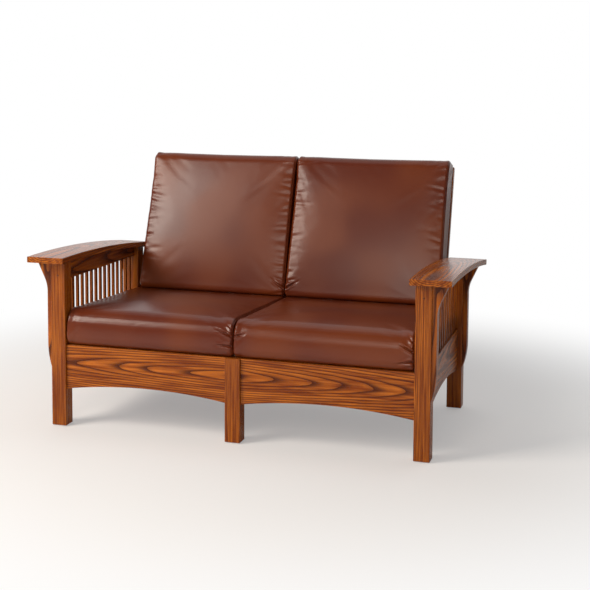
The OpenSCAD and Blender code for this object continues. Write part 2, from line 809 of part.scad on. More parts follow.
// Wooden plugs with low domes over the screws in the posts
module screw_plugs() {
    dome_r = arch_r(plug_d, plug_dome);
    color(dark_oak) in_place() for (right = [true, false], front = [true, false]) sided(right)
        screw_axis(front) rotate_extrude($fn = 32) intersection() {
            translate([0, -plug_dome]) square([plug_d / 2, plug_len + plug_dome]);
            union() {
                square([plug_d / 2, plug_len]);
                translate([0, dome_r - plug_dome]) circle(r = dome_r, $fn = 96);
            }
        }
}

module rail_screws() {
    color(steel) in_place() for (right = [true, false], front = [true, false]) sided(right)
        screw_axis(front) translate([0, 0, plug_len]) {
            cylinder(d = plug_d - 1, h = screw_head_h, $fn = 24);
            cylinder(d = screw_d, h = screw_len, $fn = 24);
        }
}

module glides() {
    leg_rows = [post_size / 2, post_depth - post_size / 2];
    color(nylon) in_place() for (x = [-post_mid, 0, post_mid], y = leg_rows) translate([x, y, 0]) {
        cylinder(d1 = glide_d - 2, d2 = glide_d, h = glide_h, $fn = 32);
        translate([0, 0, glide_h]) cylinder(d = glide_nail_d, h = glide_nail_len, $fn = 24);
    }
}

// Radius and centre of one rolled edge in a cushion's cross-section.
// k counts the edges: near and low, far and low, far and high, near and high.
function pad_edge(k, half, t, rolls, inset) =
    let (r = max(rolls[k] - inset, 2), reach = half - inset - r)
    [r, k == 1 || k == 2 ? reach : -reach, k > 1 ? t - inset - r : inset + r];

// Point on a rolled edge
function pad_roll(edge, angle) = [edge[1] + edge[0] * cos(angle), edge[2] + edge[0] * sin(angle)];

// Points round a cushion's cross-section, drawn in on all sides by the inset
function pad_section(half, t, rolls, inset) =
    [for (k = [0:3]) let (
            here = pad_edge(k, half, t, rolls, inset),
            next = pad_edge((k + 1) % 4, half, t, rolls, inset),
            angle = 180 + 90 * k,
            from = pad_roll(here, angle + 90),
            to = pad_roll(next, angle + 90),
            steps = pad_panel_steps[k]
        )
        each concat(
            [for (i = [0:pad_arc_steps - 1]) pad_roll(here, angle + 90 * i / pad_arc_steps)],
            [for (i = [0:steps - 1]) from + (to - from) * i / steps]
        )];

// Stations from a cushion's middle to its end panel: place, inset and scale of the cross-section
function pad_stations(end_x) = concat(
    [for (i = [0:pad_half_stations]) [(end_x - pad_end_roll) * sin(90 * i / pad_half_stations), 0, 1]],
    [for (i = [1:pad_arc_steps]) let (q = 90 * i / pad_arc_steps)
        [end_x - pad_end_roll * (1 - sin(q)), pad_end_roll * (1 - cos(q)), 1]],
    [[end_x + 0.7 * pad_belly, pad_end_roll, 0.5]]
);

// Height of the crown along a cushion, fullest at a third of the way from its near side
function pad_bow(v) = 27 / 32 * (1 - v) * (1 - v) * (1 + v);

// Crowns a point, draws in the ends and the far side, and slants the near side by the foot
function pad_point(p, size, t, crown, foot) =
    let (u = 2 * p.x / size.x, v = 2 * p.y / size.y)
    let (lift = crown * pad_bow(v) * (1 - (1 - pad_end_crown) * u * u) * p.z / t)
    let (pull = [pad_draw * (1 - v * v) * pow(u, 3), pad_draw * (1 - u * u) * pow(max(v, 0), 3)])
    let (slant = foot * (1 - (p.z + lift) / t) * (1 - v) / 2)
    [p.x - pull.x, p.y - pull.y + slant, p.z + lift];

// A wrapped cushion that rests on z = 0: one panel goes round its cross-section,
// and an end panel closes each side
module pad(size, t, crown, rolls, foot) {
    right = pad_stations(size.x / 2 - pad_belly);
    left = [for (i = [len(right) - 1:-1:1]) [-right[i][0], right[i][1], right[i][2]]];
    layers = [for (s = concat(left, right)) [for (p = pad_section(size.y / 2, t, rolls, s[1]))
        [s[0], p.x * s[2], t / 2 + (p.y - t / 2) * s[2]]]];
    poles = [[-size.x / 2, 0, t / 2], [size.x / 2, 0, t / 2]];
    n = len(layers[0]);
    m = len(layers);
    flat_points = concat([for (layer = layers) each layer], poles);
    points = [for (p = flat_points) pad_point(p, size, t, crown, foot)];
    faces = concat(
        [for (i = [0:n - 1]) [m * n, i, (i + 1) % n]],
        [for (j = [0:m - 2], i = [0:n - 1]) let (a = j * n + i, b = j * n + (i + 1) % n)
            each [[a, a + n, b + n], [a, b + n, b]]],
        [for (i = [0:n - 1]) [(m - 1) * n + i, m * n + 1, (m - 1) * n + (i + 1) % n]]
    );
    polyhedron(points, faces);
}

pad_x0 = pad_clear / 2;
seat_pad_x1 = post_in - pad_clear;
seat_pad_y0 = apron_y0 - seat_pad_front;
seat_pad_y1 = rear_post_y - seat_pad_rear_gap;
seat_pad_size = [seat_pad_x1 - pad_x0, (seat_pad_y1 - seat_pad_y0) / cos(seat_slope)];
seat_pad_mid = (seat_pad_y0 + seat_pad_y1) / 2;

module seat_cushion(right) {
    color(leather) in_place() sided(right)
        translate([(pad_x0 + seat_pad_x1) / 2, seat_pad_mid, seat_h(seat_pad_mid) + pad_gap])
            rotate([-seat_slope, 0, 0])
                pad(seat_pad_size, seat_pad_t, seat_crown,
                    [seat_under_roll, pad_rear_roll, pad_rear_roll, seat_roll], 0);
}

// Place on the slope where the cushions meet the seat, at local depth y behind the frame's face
function pad_foot(y) =
    (apron_top_h + seat_pad_t + seat_rear_crown - rear_rail_top_h + y * sin(recline)
        - (rear_rail_y0 + y * cos(recline) - apron_y1) * tan(seat_slope) + pad_clear)
    / (cos(recline) + sin(recline) * tan(seat_slope));

back_pad_z0 = pad_foot(-back_pad_t);
back_pad_z1 = back_len + back_pad_rise;
back_pad_x1 = stile_x1 - pad_clear;
back_pad_size = [back_pad_x1 - pad_x0, back_pad_z1 - back_pad_z0];

module back_cushion(right) {
    color(leather) in_place() sided(right) reclined()
        translate([(pad_x0 + back_pad_x1) / 2, -pad_gap, (back_pad_z0 + back_pad_z1) / 2])
            rotate([90, 0, 0])
                pad(back_pad_size, back_pad_t, back_crown,
                    [pad_rear_roll, pad_rear_roll, back_roll, back_roll], pad_foot(0) - back_pad_z0);
}

front_post(false);  // front_post_left
front_post(true);  // front_post_right
rear_post(false);  // rear_post_left
rear_post(true);  // rear_post_right
centre_leg_front();
centre_leg_rear();
arm(false);  // arm_left
arm(true);  // arm_right
corbel(false, front_corbel_y);  // corbel_front_left
corbel(true, front_corbel_y);  // corbel_front_right
corbel(false, rear_corbel_y);  // corbel_rear_left
corbel(true, rear_corbel_y);  // corbel_rear_right
upper_side_rail(false);  // upper_side_rail_left
upper_side_rail(true);  // upper_side_rail_right
lower_side_rail(false);  // lower_side_rail_left
lower_side_rail(true);  // lower_side_rail_right
side_slat_row(false);  // side_slats_left
side_slat_row(true);  // side_slats_right
apron(false);  // apron_left
apron(true);  // apron_right
rear_rail(false);  // rear_rail_left
rear_rail(true);  // rear_rail_right
centre_stretcher();
cleat(false, apron_y1, apron_y1 + cleat_w);  // front_cleat_left
cleat(true, apron_y1, apron_y1 + cleat_w);  // front_cleat_right
cleat(false, rear_rail_y0 - cleat_w, rear_rail_y0);  // rear_cleat_left
cleat(true, rear_rail_y0 - cleat_w, rear_rail_y0);  // rear_cleat_right
seat_slat_row(false);  // seat_slats_left
seat_slat_row(true);  // seat_slats_right
corner_block(false, apron_y1, post_size, apron_y1 + corner_block_len);  // corner_block_front_left
corner_block(true, apron_y1, post_size, apron_y1 + corner_block_len);  // corner_block_front_right
corner_block(false, rear_rail_y0, rear_post_y, rear_rail_y0 - corner_block_len);  // corner_block_rear_left
corner_block(true, rear_rail_y0, rear_post_y, rear_rail_y0 - corner_block_len);  // corner_block_rear_right
back_stile(false);  // back_stile_left
back_stile(true);  // back_stile_right
back_muntin();
back_top_rail();
back_bottom_rail();
back_slat_row(false);  // back_slats_left
back_slat_row(true);  // back_slats_right
back_bracket(false);  // back_bracket_left
back_bracket(true);  // back_bracket_right
back_bolts();
back_nuts();
bracket_screws();
back_dowels();
screw_plugs();
rail_screws();
glides();
seat_cushion(false);  // seat_cushion_left
seat_cushion(true);  // seat_cushion_right
back_cushion(false);  // back_cushion_left
back_cushion(true);  // back_cushion_right
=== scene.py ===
"""Mission loveseat in stained oak and brown leather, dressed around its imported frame.

The oak boards are copies of the frame's own solids with eased edges and a grain that follows
each board. The four cushions are sewn, filled and gathered by a cloth simulation.
"""

import json
import logging
import math
import random
from dataclasses import dataclass, field
from enum import Enum
from typing import Iterable, Optional

import bmesh
import bpy
import numpy as np
from mathutils import Matrix, Vector


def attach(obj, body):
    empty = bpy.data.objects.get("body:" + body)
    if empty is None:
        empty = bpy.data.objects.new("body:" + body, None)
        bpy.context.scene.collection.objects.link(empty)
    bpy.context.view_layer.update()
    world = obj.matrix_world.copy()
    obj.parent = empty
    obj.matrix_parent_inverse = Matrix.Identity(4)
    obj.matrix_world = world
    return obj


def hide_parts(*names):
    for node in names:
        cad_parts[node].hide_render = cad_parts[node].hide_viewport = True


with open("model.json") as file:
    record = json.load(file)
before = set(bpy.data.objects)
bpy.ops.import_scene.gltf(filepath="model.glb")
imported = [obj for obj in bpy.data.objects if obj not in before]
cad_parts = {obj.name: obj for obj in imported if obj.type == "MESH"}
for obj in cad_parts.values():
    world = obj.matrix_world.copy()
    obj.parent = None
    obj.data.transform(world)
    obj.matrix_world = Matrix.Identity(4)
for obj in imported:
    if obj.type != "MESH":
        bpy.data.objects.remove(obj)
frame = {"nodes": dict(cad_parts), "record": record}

LOG = logging.getLogger("loveseat")
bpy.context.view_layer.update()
FRAME_BODY = "frame"
LOG_POINT = "log_point"
MM = 0.001


def linear_rgba(hex_colour: str) -> tuple[float, float, float, float]:
    """Turns an sRGB hex colour into the linear values that a shader takes.

    Args:
        hex_colour: the colour as "#rrggbb".

    Returns:
        Red, green, blue and an alpha of 1, all linear.
    """
    channels = [int(hex_colour[i : i + 2], 16) / 255 for i in (1, 3, 5)]
    linear = [c / 12.92 if c <= 0.04045 else ((c + 0.055) / 1.055) ** 2.4 for c in channels]
    return (linear[0], linear[1], linear[2], 1.0)


def add_node(
    tree: bpy.types.NodeTree, kind: str, inputs: Optional[dict] = None, **settings
) -> bpy.types.Node:
    """Adds one shader node with its settings, constant inputs and links.

    Args:
        tree: the node tree that takes the node.
        kind: Blender's name of the node type.
        inputs: socket name or number to a constant, or to the socket it is linked from.
        **settings: the node's own properties.

    Returns:
        The new node.
    """
    node = tree.nodes.new(kind)
    for name, value in settings.items():
        setattr(node, name, value)
    for socket, value in (inputs or {}).items():
        if isinstance(value, bpy.types.NodeSocket):
            tree.links.new(value, node.inputs[socket])
        else:
            node.inputs[socket].default_value = value
    return node


def set_ramp(node: bpy.types.Node, stops: Iterable[tuple[float, tuple]]) -> None:
    """Sets a colour ramp's stops.

    Args:
        node: the colour ramp node.
        stops: position and colour of each stop, in order.
    """
    elements = node.color_ramp.elements
    for index, (position, colour) in enumerate(stops):
        element = elements[index] if index < 2 else elements.new(position)
        element.position = position
        element.color = colour


def grey(value: float) -> tuple[float, float, float, float]:
    """Returns an opaque grey, such as a ramp takes for a plain number."""
    return (value, value, value, 1.0)


class Side(Enum):
    """The two halves of the loveseat, seen from the front."""

    LEFT = "left"
    RIGHT = "right"

    @property
    def sign(self) -> int:
        """Returns -1 at the left and 1 at the right."""
        return -1 if self is Side.LEFT else 1

    def other(self) -> "Side":
        """Returns the opposite half."""
        return Side.RIGHT if self is Side.LEFT else Side.LEFT


class Grain(Enum):
    """The direction of a board's grain."""

    ACROSS = (1.0, 0.0, 0.0)
    DEEP = (0.0, 1.0, 0.0)
    UPRIGHT = (0.0, 0.0, 1.0)
    RECLINED = (0.0, 0.3256, 0.9455)


class Cut(Enum):
    """How a board was sawn from its log."""

    FLAT_SAWN = "flat-sawn"
    RIFT_SAWN = "rift-sawn"


@dataclass(frozen=True)
class StainedOak:
    """Red-brown stained oak under semi-gloss lacquer.

    The stain settles in the open pores of each year's early wood. The eye gets dark lines that
    run straight on rift-sawn posts and close in long arches on flat-sawn boards.
    """

    name: str = "stained_oak_lacquered"
    late_wood: str = "#cb7220"
    mid_wood: str = "#8c400d"
    early_wood: str = "#522004"
    pore: str = "#3d1705"
    # How dark a year's growth is, from its first early wood to its last late wood.
    year: tuple[tuple[float, float], ...] = ((0.0, 1.0), (0.14, 0.85), (0.42, 0.2), (0.8, 0.0), (1.0, 0.4))
    ring_mm: float = 7.4
    ring_wander_mm: float = 11.0
    wander_length_mm: float = 420.0
    wander_width_mm: float = 70.0
    pore_length_mm: float = 16.0
    # Real pores are 0.3 mm wide, which is too fine to show.
    pore_width_mm: float = 0.8
    pore_edge: tuple[tuple[float, float], ...] = ((0.52, 0.0), (0.66, 1.0))
    pores_in_early_wood: float = 0.55
    pores_everywhere: float = 0.18
    tone_mm: float = 420.0
    streak_mm: float = 11.0
    tone_range: tuple[float, float] = (0.36, 0.64)
    roughness_low: float = 0.24
    roughness_high: float = 0.4
    coat: float = 0.04
    coat_roughness: float = 0.12
    ior: float = 1.32
    bump_mm: float = 0.35
    bump_strength: float = 0.6
    reads_log_point: bool = True

    def build(self) -> bpy.types.Material:
        """Makes the material.

        Returns:
            Oak that reads each board's log point, or Object coordinates where there is none.
        """
        material = bpy.data.materials.new(self.name)
        material.use_nodes = True
        tree = material.node_tree
        shader = tree.nodes["Principled BSDF"]
        if self.reads_log_point:
            point = add_node(tree, "ShaderNodeAttribute", attribute_name=LOG_POINT).outputs["Vector"]
        else:
            coordinates = add_node(tree, "ShaderNodeTexCoord").outputs["Object"]
            point = add_node(
                tree, "ShaderNodeMapping", {"Vector": coordinates, "Location": (0.0, 0.09, 0.06)}
            ).outputs["Vector"]
        wander = self._along_grain(tree, point, self.wander_length_mm, self.wander_width_mm, 2.0)
        ring = self._ring(tree, point, wander)
        profile = add_node(tree, "ShaderNodeValToRGB", {"Fac": ring})
        set_ramp(profile, [(place, grey(share)) for place, share in self.year])
        streaks = self._along_grain(tree, point, self.pore_length_mm, self.pore_width_mm, 1.0)
        pores = add_node(tree, "ShaderNodeValToRGB", {"Fac": streaks})
        set_ramp(pores, [(place, grey(share)) for place, share in self.pore_edge])
        tone = add_node(
            tree, "ShaderNodeMapRange",
            {
                "Value": self._along_grain(tree, point, self.tone_mm, self.streak_mm, 3.0),
                "From Min": self.tone_range[0], "From Max": self.tone_range[1],
            },
        )
        wood = add_node(
            tree, "ShaderNodeMix",
            {0: tone.outputs["Result"], 6: linear_rgba(self.mid_wood), 7: linear_rgba(self.late_wood)},
            data_type="RGBA",
        )
        ringed = add_node(
            tree, "ShaderNodeMix",
            {0: profile.outputs["Color"], 6: wood.outputs[2], 7: linear_rgba(self.early_wood)},
            data_type="RGBA",
        )
        pore_share = add_node(
            tree, "ShaderNodeMath",
            {0: profile.outputs["Color"], 1: self.pores_in_early_wood, 2: self.pores_everywhere},
            operation="MULTIPLY_ADD",
        ).outputs["Value"]
        pore_mask = add_node(
            tree, "ShaderNodeMath", {0: pore_share, 1: pores.outputs["Color"]}, operation="MULTIPLY"
        ).outputs["Value"]
        stained = add_node(
            tree, "ShaderNodeMix", {0: pore_mask, 6: ringed.outputs[2], 7: linear_rgba(self.pore)},
            data_type="RGBA",
        )
        tree.links.new(stained.outputs[2], shader.inputs["Base Color"])
        roughness = add_node(
            tree, "ShaderNodeMapRange",
            {"Value": pore_mask, "To Min": self.roughness_low, "To Max": self.roughness_high},
        )
        tree.links.new(roughness.outputs["Result"], shader.inputs["Roughness"])
        relief = add_node(
            tree, "ShaderNodeMath", {0: 1.0, 1: pore_mask}, operation="SUBTRACT"
        ).outputs["Value"]
        bump = add_node(
            tree, "ShaderNodeBump",
            {"Height": relief, "Distance": self.bump_mm * MM, "Strength": self.bump_strength},
        )
        tree.links.new(bump.outputs["Normal"], shader.inputs["Normal"])
        shader.inputs["IOR"].default_value = self.ior
        shader.inputs["Coat Weight"].default_value = self.coat
        shader.inputs["Coat Roughness"].default_value = self.coat_roughness
        return material

    @staticmethod
    def _along_grain(
        tree: bpy.types.NodeTree, point: bpy.types.NodeSocket,
        length_mm: float, width_mm: float, detail: float,
    ) -> bpy.types.NodeSocket:
        """Adds an uneven pattern, drawn out along the grain.

        Args:
            tree: the material's node tree.
            point: the point in the log, its X along the grain.
            length_mm: size of a feature along the grain.
            width_mm: size of a feature across the grain.
            detail: octaves of finer noise.

        Returns:
            The pattern, from 0 to 1.
        """
        along, across = 1 / (length_mm * MM), 1 / (width_mm * MM)
        scaled = add_node(
            tree, "ShaderNodeVectorMath", {0: point, 1: (along, across, across)}, operation="MULTIPLY"
        )
        return add_node(
            tree, "ShaderNodeTexNoise", {"Vector": scaled.outputs["Vector"], "Scale": 1.0, "Detail": detail}
        ).outputs["Fac"]

    def _ring(
        self, tree: bpy.types.NodeTree, point: bpy.types.NodeSocket, wander: bpy.types.NodeSocket
    ) -> bpy.types.NodeSocket:
        """Adds the place within a year's growth.

        Args:
            tree: the material's node tree.
            point: the point in the log, its X along the grain.
            wander: the pattern by which the rings stray from true circles.

        Returns:
            The place, from 0 in early wood to 1 at the end of late wood.
        """
        cross = add_node(tree, "ShaderNodeVectorMath", {0: point, 1: (0.0, 1.0, 1.0)}, operation="MULTIPLY")
        radius = add_node(tree, "ShaderNodeVectorMath", {0: cross.outputs["Vector"]}, operation="LENGTH")
        years = add_node(
            tree, "ShaderNodeMath", {0: radius.outputs["Value"], 1: 1 / (self.ring_mm * MM)},
            operation="MULTIPLY",
        ).outputs["Value"]
        grown = add_node(
            tree, "ShaderNodeMath", {0: wander, 1: self.ring_wander_mm / self.ring_mm, 2: years},
            operation="MULTIPLY_ADD",
        ).outputs["Value"]
        return add_node(tree, "ShaderNodeMath", {0: grown}, operation="FRACT").outputs["Value"]


@dataclass(frozen=True)
class BrownLeather:
    """Aniline-dyed cowhide with a waxed semi-gloss finish.

    The dye lies in soft clouds, and the pebbled grain breaks up the highlights on the rolled
    edges.
    """

    name: str = "waxed_brown_leather"
    warm: str = "#723210"
    deep: str = "#622713"
    cloud_mm: float = 170.0
    cloud_range: tuple[float, float] = (0.2, 0.8)
    # Real pebbles are 0.7 mm wide, which is too fine to show.
    pebble_mm: float = 2.2
    fine_mm: float = 9.0
    roughness_low: float = 0.285
    roughness_high: float = 0.33
    ior: float = 1.45
    bump_mm: float = 0.22
    bump_strength: float = 0.1

    def build(self) -> bpy.types.Material:
        """Makes the material and returns it."""
        material = bpy.data.materials.new(self.name)
        material.use_nodes = True
        tree = material.node_tree
        shader = tree.nodes["Principled BSDF"]
        point = add_node(tree, "ShaderNodeTexCoord").outputs["Object"]
        cloud = add_node(
            tree, "ShaderNodeTexNoise", {"Vector": point, "Scale": 1 / (self.cloud_mm * MM), "Detail": 0.0}
        ).outputs["Fac"]
        cloudy = add_node(
            tree, "ShaderNodeMapRange",
            {"Value": cloud, "From Min": self.cloud_range[0], "From Max": self.cloud_range[1]},
            interpolation_type="SMOOTHERSTEP",
        ).outputs["Result"]
        dyed = add_node(
            tree, "ShaderNodeMix", {0: cloudy, 6: linear_rgba(self.deep), 7: linear_rgba(self.warm)},
            data_type="RGBA",
        )
        tree.links.new(dyed.outputs[2], shader.inputs["Base Color"])
        roughness = add_node(
            tree, "ShaderNodeMapRange",
            {"Value": cloudy, "To Min": self.roughness_low, "To Max": self.roughness_high},
        )
        tree.links.new(roughness.outputs["Result"], shader.inputs["Roughness"])
        pebbles = add_node(
            tree, "ShaderNodeTexVoronoi", {"Vector": point, "Scale": 1 / (self.pebble_mm * MM)},
            feature="SMOOTH_F1",
        )
        fine = add_node(
            tree, "ShaderNodeTexNoise", {"Vector": point, "Scale": 1 / (self.fine_mm * MM), "Detail": 2.0}
        ).outputs["Fac"]
        height = add_node(
            tree, "ShaderNodeMath", {0: pebbles.outputs["Distance"], 1: fine}, operation="SUBTRACT"
        )
        bump = add_node(
            tree, "ShaderNodeBump",
            {
                "Height": height.outputs["Value"], "Distance": self.bump_mm * MM,
                "Strength": self.bump_strength,
            },
        )
        tree.links.new(bump.outputs["Normal"], shader.inputs["Normal"])
        shader.inputs["IOR"].default_value = self.ior
        return material


@dataclass(frozen=True)
class PlainFinish:
    """A small part's finish: one colour, cloudy and scuffed at the scale of its own wear."""

    name: str
    colour: str
    worn: str
    metallic: float
    roughness: float
    wear_mm: float
    bump_mm: float
    bump_strength: float = 0.4

    def build(self) -> bpy.types.Material:
        """Makes the material and returns it."""
        material = bpy.data.materials.new(self.name)
        material.use_nodes = True
        tree = material.node_tree
        shader = tree.nodes["Principled BSDF"]
        point = add_node(tree, "ShaderNodeTexCoord").outputs["Object"]
        wear = add_node(
            tree, "ShaderNodeTexNoise", {"Vector": point, "Scale": 1 / (self.wear_mm * MM), "Detail": 5.0}
        ).outputs["Fac"]
        tinted = add_node(
            tree, "ShaderNodeMix", {0: wear, 6: linear_rgba(self.colour), 7: linear_rgba(self.worn)},
            data_type="RGBA",
        )
        tree.links.new(tinted.outputs[2], shader.inputs["Base Color"])
        scuffed = add_node(
            tree, "ShaderNodeMapRange",
            {"Value": wear, "To Min": self.roughness - 0.1, "To Max": self.roughness + 0.12},
        )
        tree.links.new(scuffed.outputs["Result"], shader.inputs["Roughness"])
        bump = add_node(
            tree, "ShaderNodeBump",
            {"Height": wear, "Distance": self.bump_mm * MM, "Strength": self.bump_strength},
        )
        tree.links.new(bump.outputs["Normal"], shader.inputs["Normal"])
        shader.inputs["Metallic"].default_value = self.metallic
        return material


@dataclass(frozen=True)
class Finishes:
    """The loveseat's materials, each made once."""

    oak: bpy.types.Material
    hidden_oak: bpy.types.Material
    leather: bpy.types.Material
    steel: bpy.types.Material
    nylon: bpy.types.Material

    @classmethod
    def make(cls) -> "Finishes":
        """Makes every material and returns the set."""
        hidden = StainedOak(
            name="wiped_oak_unlacquered", late_wood="#8f5127", mid_wood="#7b3f1b", early_wood="#4f2410",
            roughness_low=0.55, roughness_high=0.7, coat=0.0, reads_log_point=False,
        )
        # Zinc plating gives the eye a cool, slightly cloudy grey.
        steel = PlainFinish("zinc_plated_steel", "#b4b6b8", "#8d9093", 1.0, 0.35, 3.0, 0.02)
        # Moulded nylon gives the eye a dull black with a faint orange peel.
        nylon = PlainFinish("moulded_black_nylon", "#201d1b", "#2f2b28", 0.0, 0.5, 2.0, 0.05)
        return cls(StainedOak().build(), hidden.build(), BrownLeather().build(), steel.build(), nylon.build())


@dataclass(frozen=True)
class PhotoCamera:
    """The camera, fitted to the straight edges of the real loveseat's picture."""

    place_m: tuple[float, float, float] = (1.44254, -4.73291, 1.42407)
    yaw: float = 0.31536
    pitch: float = 0.09715
    roll: float = 0.00218
    focal_px: float = 1293.018
    centre_px: tuple[float, float] = (245.0, 170.0)
    image_px: float = 590.0
    sensor_mm: float = 36.0

    def build(self) -> bpy.types.Object:
        """Makes the camera, turns it and makes it the scene's own.

        Returns:
            The camera object.
        """
        data = bpy.data.cameras.new("photo_camera")
        data.sensor_width = self.sensor_mm
        data.lens = self.focal_px / self.image_px * self.sensor_mm
        data.shift_x = (self.image_px / 2 - self.centre_px[0]) / self.image_px
        data.shift_y = (self.centre_px[1] - self.image_px / 2) / self.image_px
        camera = bpy.data.objects.new("photo_camera", data)
        bpy.context.scene.collection.objects.link(camera)
        forward = Vector((
            -math.sin(self.yaw) * math.cos(self.pitch),
            math.cos(self.yaw) * math.cos(self.pitch),
            -math.sin(self.pitch),
        ))
        level = Vector((math.cos(self.yaw), math.sin(self.yaw), 0.0))
        upright = level.cross(forward)
        right = math.cos(self.roll) * level + math.sin(self.roll) * upright
        up = math.cos(self.roll) * upright - math.sin(self.roll) * level
        turn = Matrix((right, up, -forward)).transposed().to_4x4()
        camera.matrix_world = Matrix.Translation(self.place_m) @ turn
        bpy.context.scene.camera = camera
        return camera


@dataclass(frozen=True)
class Lamp:
    """One soft box of the studio."""

    name: str
    place_m: tuple[float, float, float]
    aim_m: tuple[float, float, float]
    size_m: tuple[float, float]
    watts: float
    colour: str = "#ffffff"

    def build(self) -> None:
        """Makes the lamp and points it at its aim."""
        data = bpy.data.lights.new(self.name, "AREA")
        data.shape = "RECTANGLE"
        data.size, data.size_y = self.size_m
        data.energy = self.watts
        data.color = linear_rgba(self.colour)[:3]
        lamp = bpy.data.objects.new(self.name, data)
        lamp.location = self.place_m
        line = Vector(self.aim_m) - Vector(self.place_m)
        lamp.rotation_euler = line.to_track_quat("-Z", "Y").to_euler()
        bpy.context.scene.collection.objects.link(lamp)


@dataclass
class Studio:
    """Pale floor, white surroundings and soft boxes."""

    floor_radius_m: float = 9.0
    fade_from_m: float = 1.0
    fade_to_m: float = 2.3
    floor_glow: float = 0.3
    floor_colour: str = "#fbfaf9"
    floor_roughness: float = 0.9
    # How white the room in front and the sweep behind are, and where one turns into the other.
    room: float = 0.1
    sweep: float = 0.7
    turn: tuple[float, float] = (0.05, 0.8)
    lamps: tuple[Lamp, ...] = (
        Lamp("key_box", (-3.2, -3.0, 3.35), (0.0, 0.0, 0.4), (2.2, 2.2), 190.0, "#fff4e8"),
        Lamp("fill_box", (0.4, -4.8, 2.4), (0.0, 0.0, 0.5), (2.4, 1.6), 60.0, "#fff4e8"),
        Lamp("top_box", (0.0, 0.6, 3.6), (0.0, 0.0, 0.5), (3.0, 1.6), 10.0),
    )

    def build(self) -> None:
        """Makes the floor, the world and the lamps, and sets the view transform."""
        bpy.context.scene.view_settings.view_transform = "Standard"
        self._world()
        self._floor()
        for lamp in self.lamps:
            lamp.build()
        LOG.info("studio: floor and %d lamps", len(self.lamps))

    def _world(self) -> None:
        """Makes surroundings that look white: a lit sweep behind, and a dim room in front."""
        world = bpy.data.worlds.new("studio_white")
        bpy.context.scene.world = world
        world.use_nodes = True
        tree = world.node_tree
        direction = add_node(tree, "ShaderNodeTexCoord").outputs["Generated"]
        depth = add_node(tree, "ShaderNodeSeparateXYZ", {0: direction}).outputs["Y"]
        lit = add_node(
            tree, "ShaderNodeMapRange",
            {
                "Value": depth, "From Min": self.turn[0], "From Max": self.turn[1],
                "To Min": self.room, "To Max": self.sweep,
            },
        ).outputs["Result"]
        behind = add_node(
            tree, "ShaderNodeMapRange", {"Value": depth, "From Min": self.turn[0], "From Max": self.turn[1]}
        ).outputs["Result"]
        rays = add_node(tree, "ShaderNodeLightPath").outputs
        mirrored = add_node(
            tree, "ShaderNodeMath", {0: behind, 1: rays["Is Glossy Ray"]}, operation="MULTIPLY"
        ).outputs["Value"]
        strength = lit
        for share in (mirrored, rays["Is Transmission Ray"], rays["Is Camera Ray"]):
            strength = add_node(
                tree, "ShaderNodeMath", {0: strength, 1: share}, operation="MAXIMUM"
            ).outputs["Value"]
        tree.links.new(strength, tree.nodes["Background"].inputs["Strength"])
        tree.nodes["Background"].inputs["Color"].default_value = grey(1.0)

    def _floor(self) -> None:
        """Makes a round floor that fades into the white surroundings."""
        mesh = bmesh.new()
        bmesh.ops.create_circle(mesh, cap_ends=True, radius=self.floor_radius_m, segments=96)
        data = bpy.data.meshes.new("studio_floor")
        mesh.to_mesh(data)
        mesh.free()
        material = bpy.data.materials.new("pale_paper_sweep")
        material.use_nodes = True
        tree = material.node_tree
        shader = tree.nodes["Principled BSDF"]
        shader.inputs["Base Color"].default_value = linear_rgba(self.floor_colour)
        shader.inputs["Roughness"].default_value = self.floor_roughness
        point = add_node(tree, "ShaderNodeTexCoord").outputs["Object"]
        distance = add_node(
            tree, "ShaderNodeVectorMath", {0: point}, operation="LENGTH"
        ).outputs["Value"]
        fade = add_node(
            tree, "ShaderNodeMapRange",
            {
                "Value": distance, "From Min": self.fade_from_m, "From Max": self.fade_to_m,
                "To Min": self.floor_glow,
            },
            interpolation_type="SMOOTHSTEP",
        ).outputs["Result"]
        camera_ray = add_node(tree, "ShaderNodeLightPath").outputs["Is Camera Ray"]
        share = add_node(
            tree, "ShaderNodeMath", {0: fade, 1: camera_ray}, operation="MULTIPLY"
        ).outputs["Value"]
        glow = add_node(tree, "ShaderNodeEmission", {"Color": grey(1.0), "Strength": 1.0})
        mix = add_node(
            tree, "ShaderNodeMixShader", {0: share, 1: shader.outputs["BSDF"], 2: glow.outputs["Emission"]}
        )
        tree.links.new(mix.outputs["Shader"], tree.nodes["Material Output"].inputs["Surface"])
        data.materials.append(material)
        floor = bpy.data.objects.new("studio_floor", data)
        bpy.context.scene.collection.objects.link(floor)


@dataclass(frozen=True)
class Board:
    """One CAD node of oak boards, and how they were cut."""

    node: str
    grain: Grain
    cut: Cut = Cut.RIFT_SAWN
    ease_mm: float = 1.2
    pith_mm: float = 75.0
    tilt: float = 0.03
    seed: int = 1
    heart_mm: float = 0.0

    @property
    def density(self) -> float:
        """Returns how much closer the rings lie than on a flat-sawn board."""
        return 1.0 if self.cut is Cut.FLAT_SAWN else 1.7


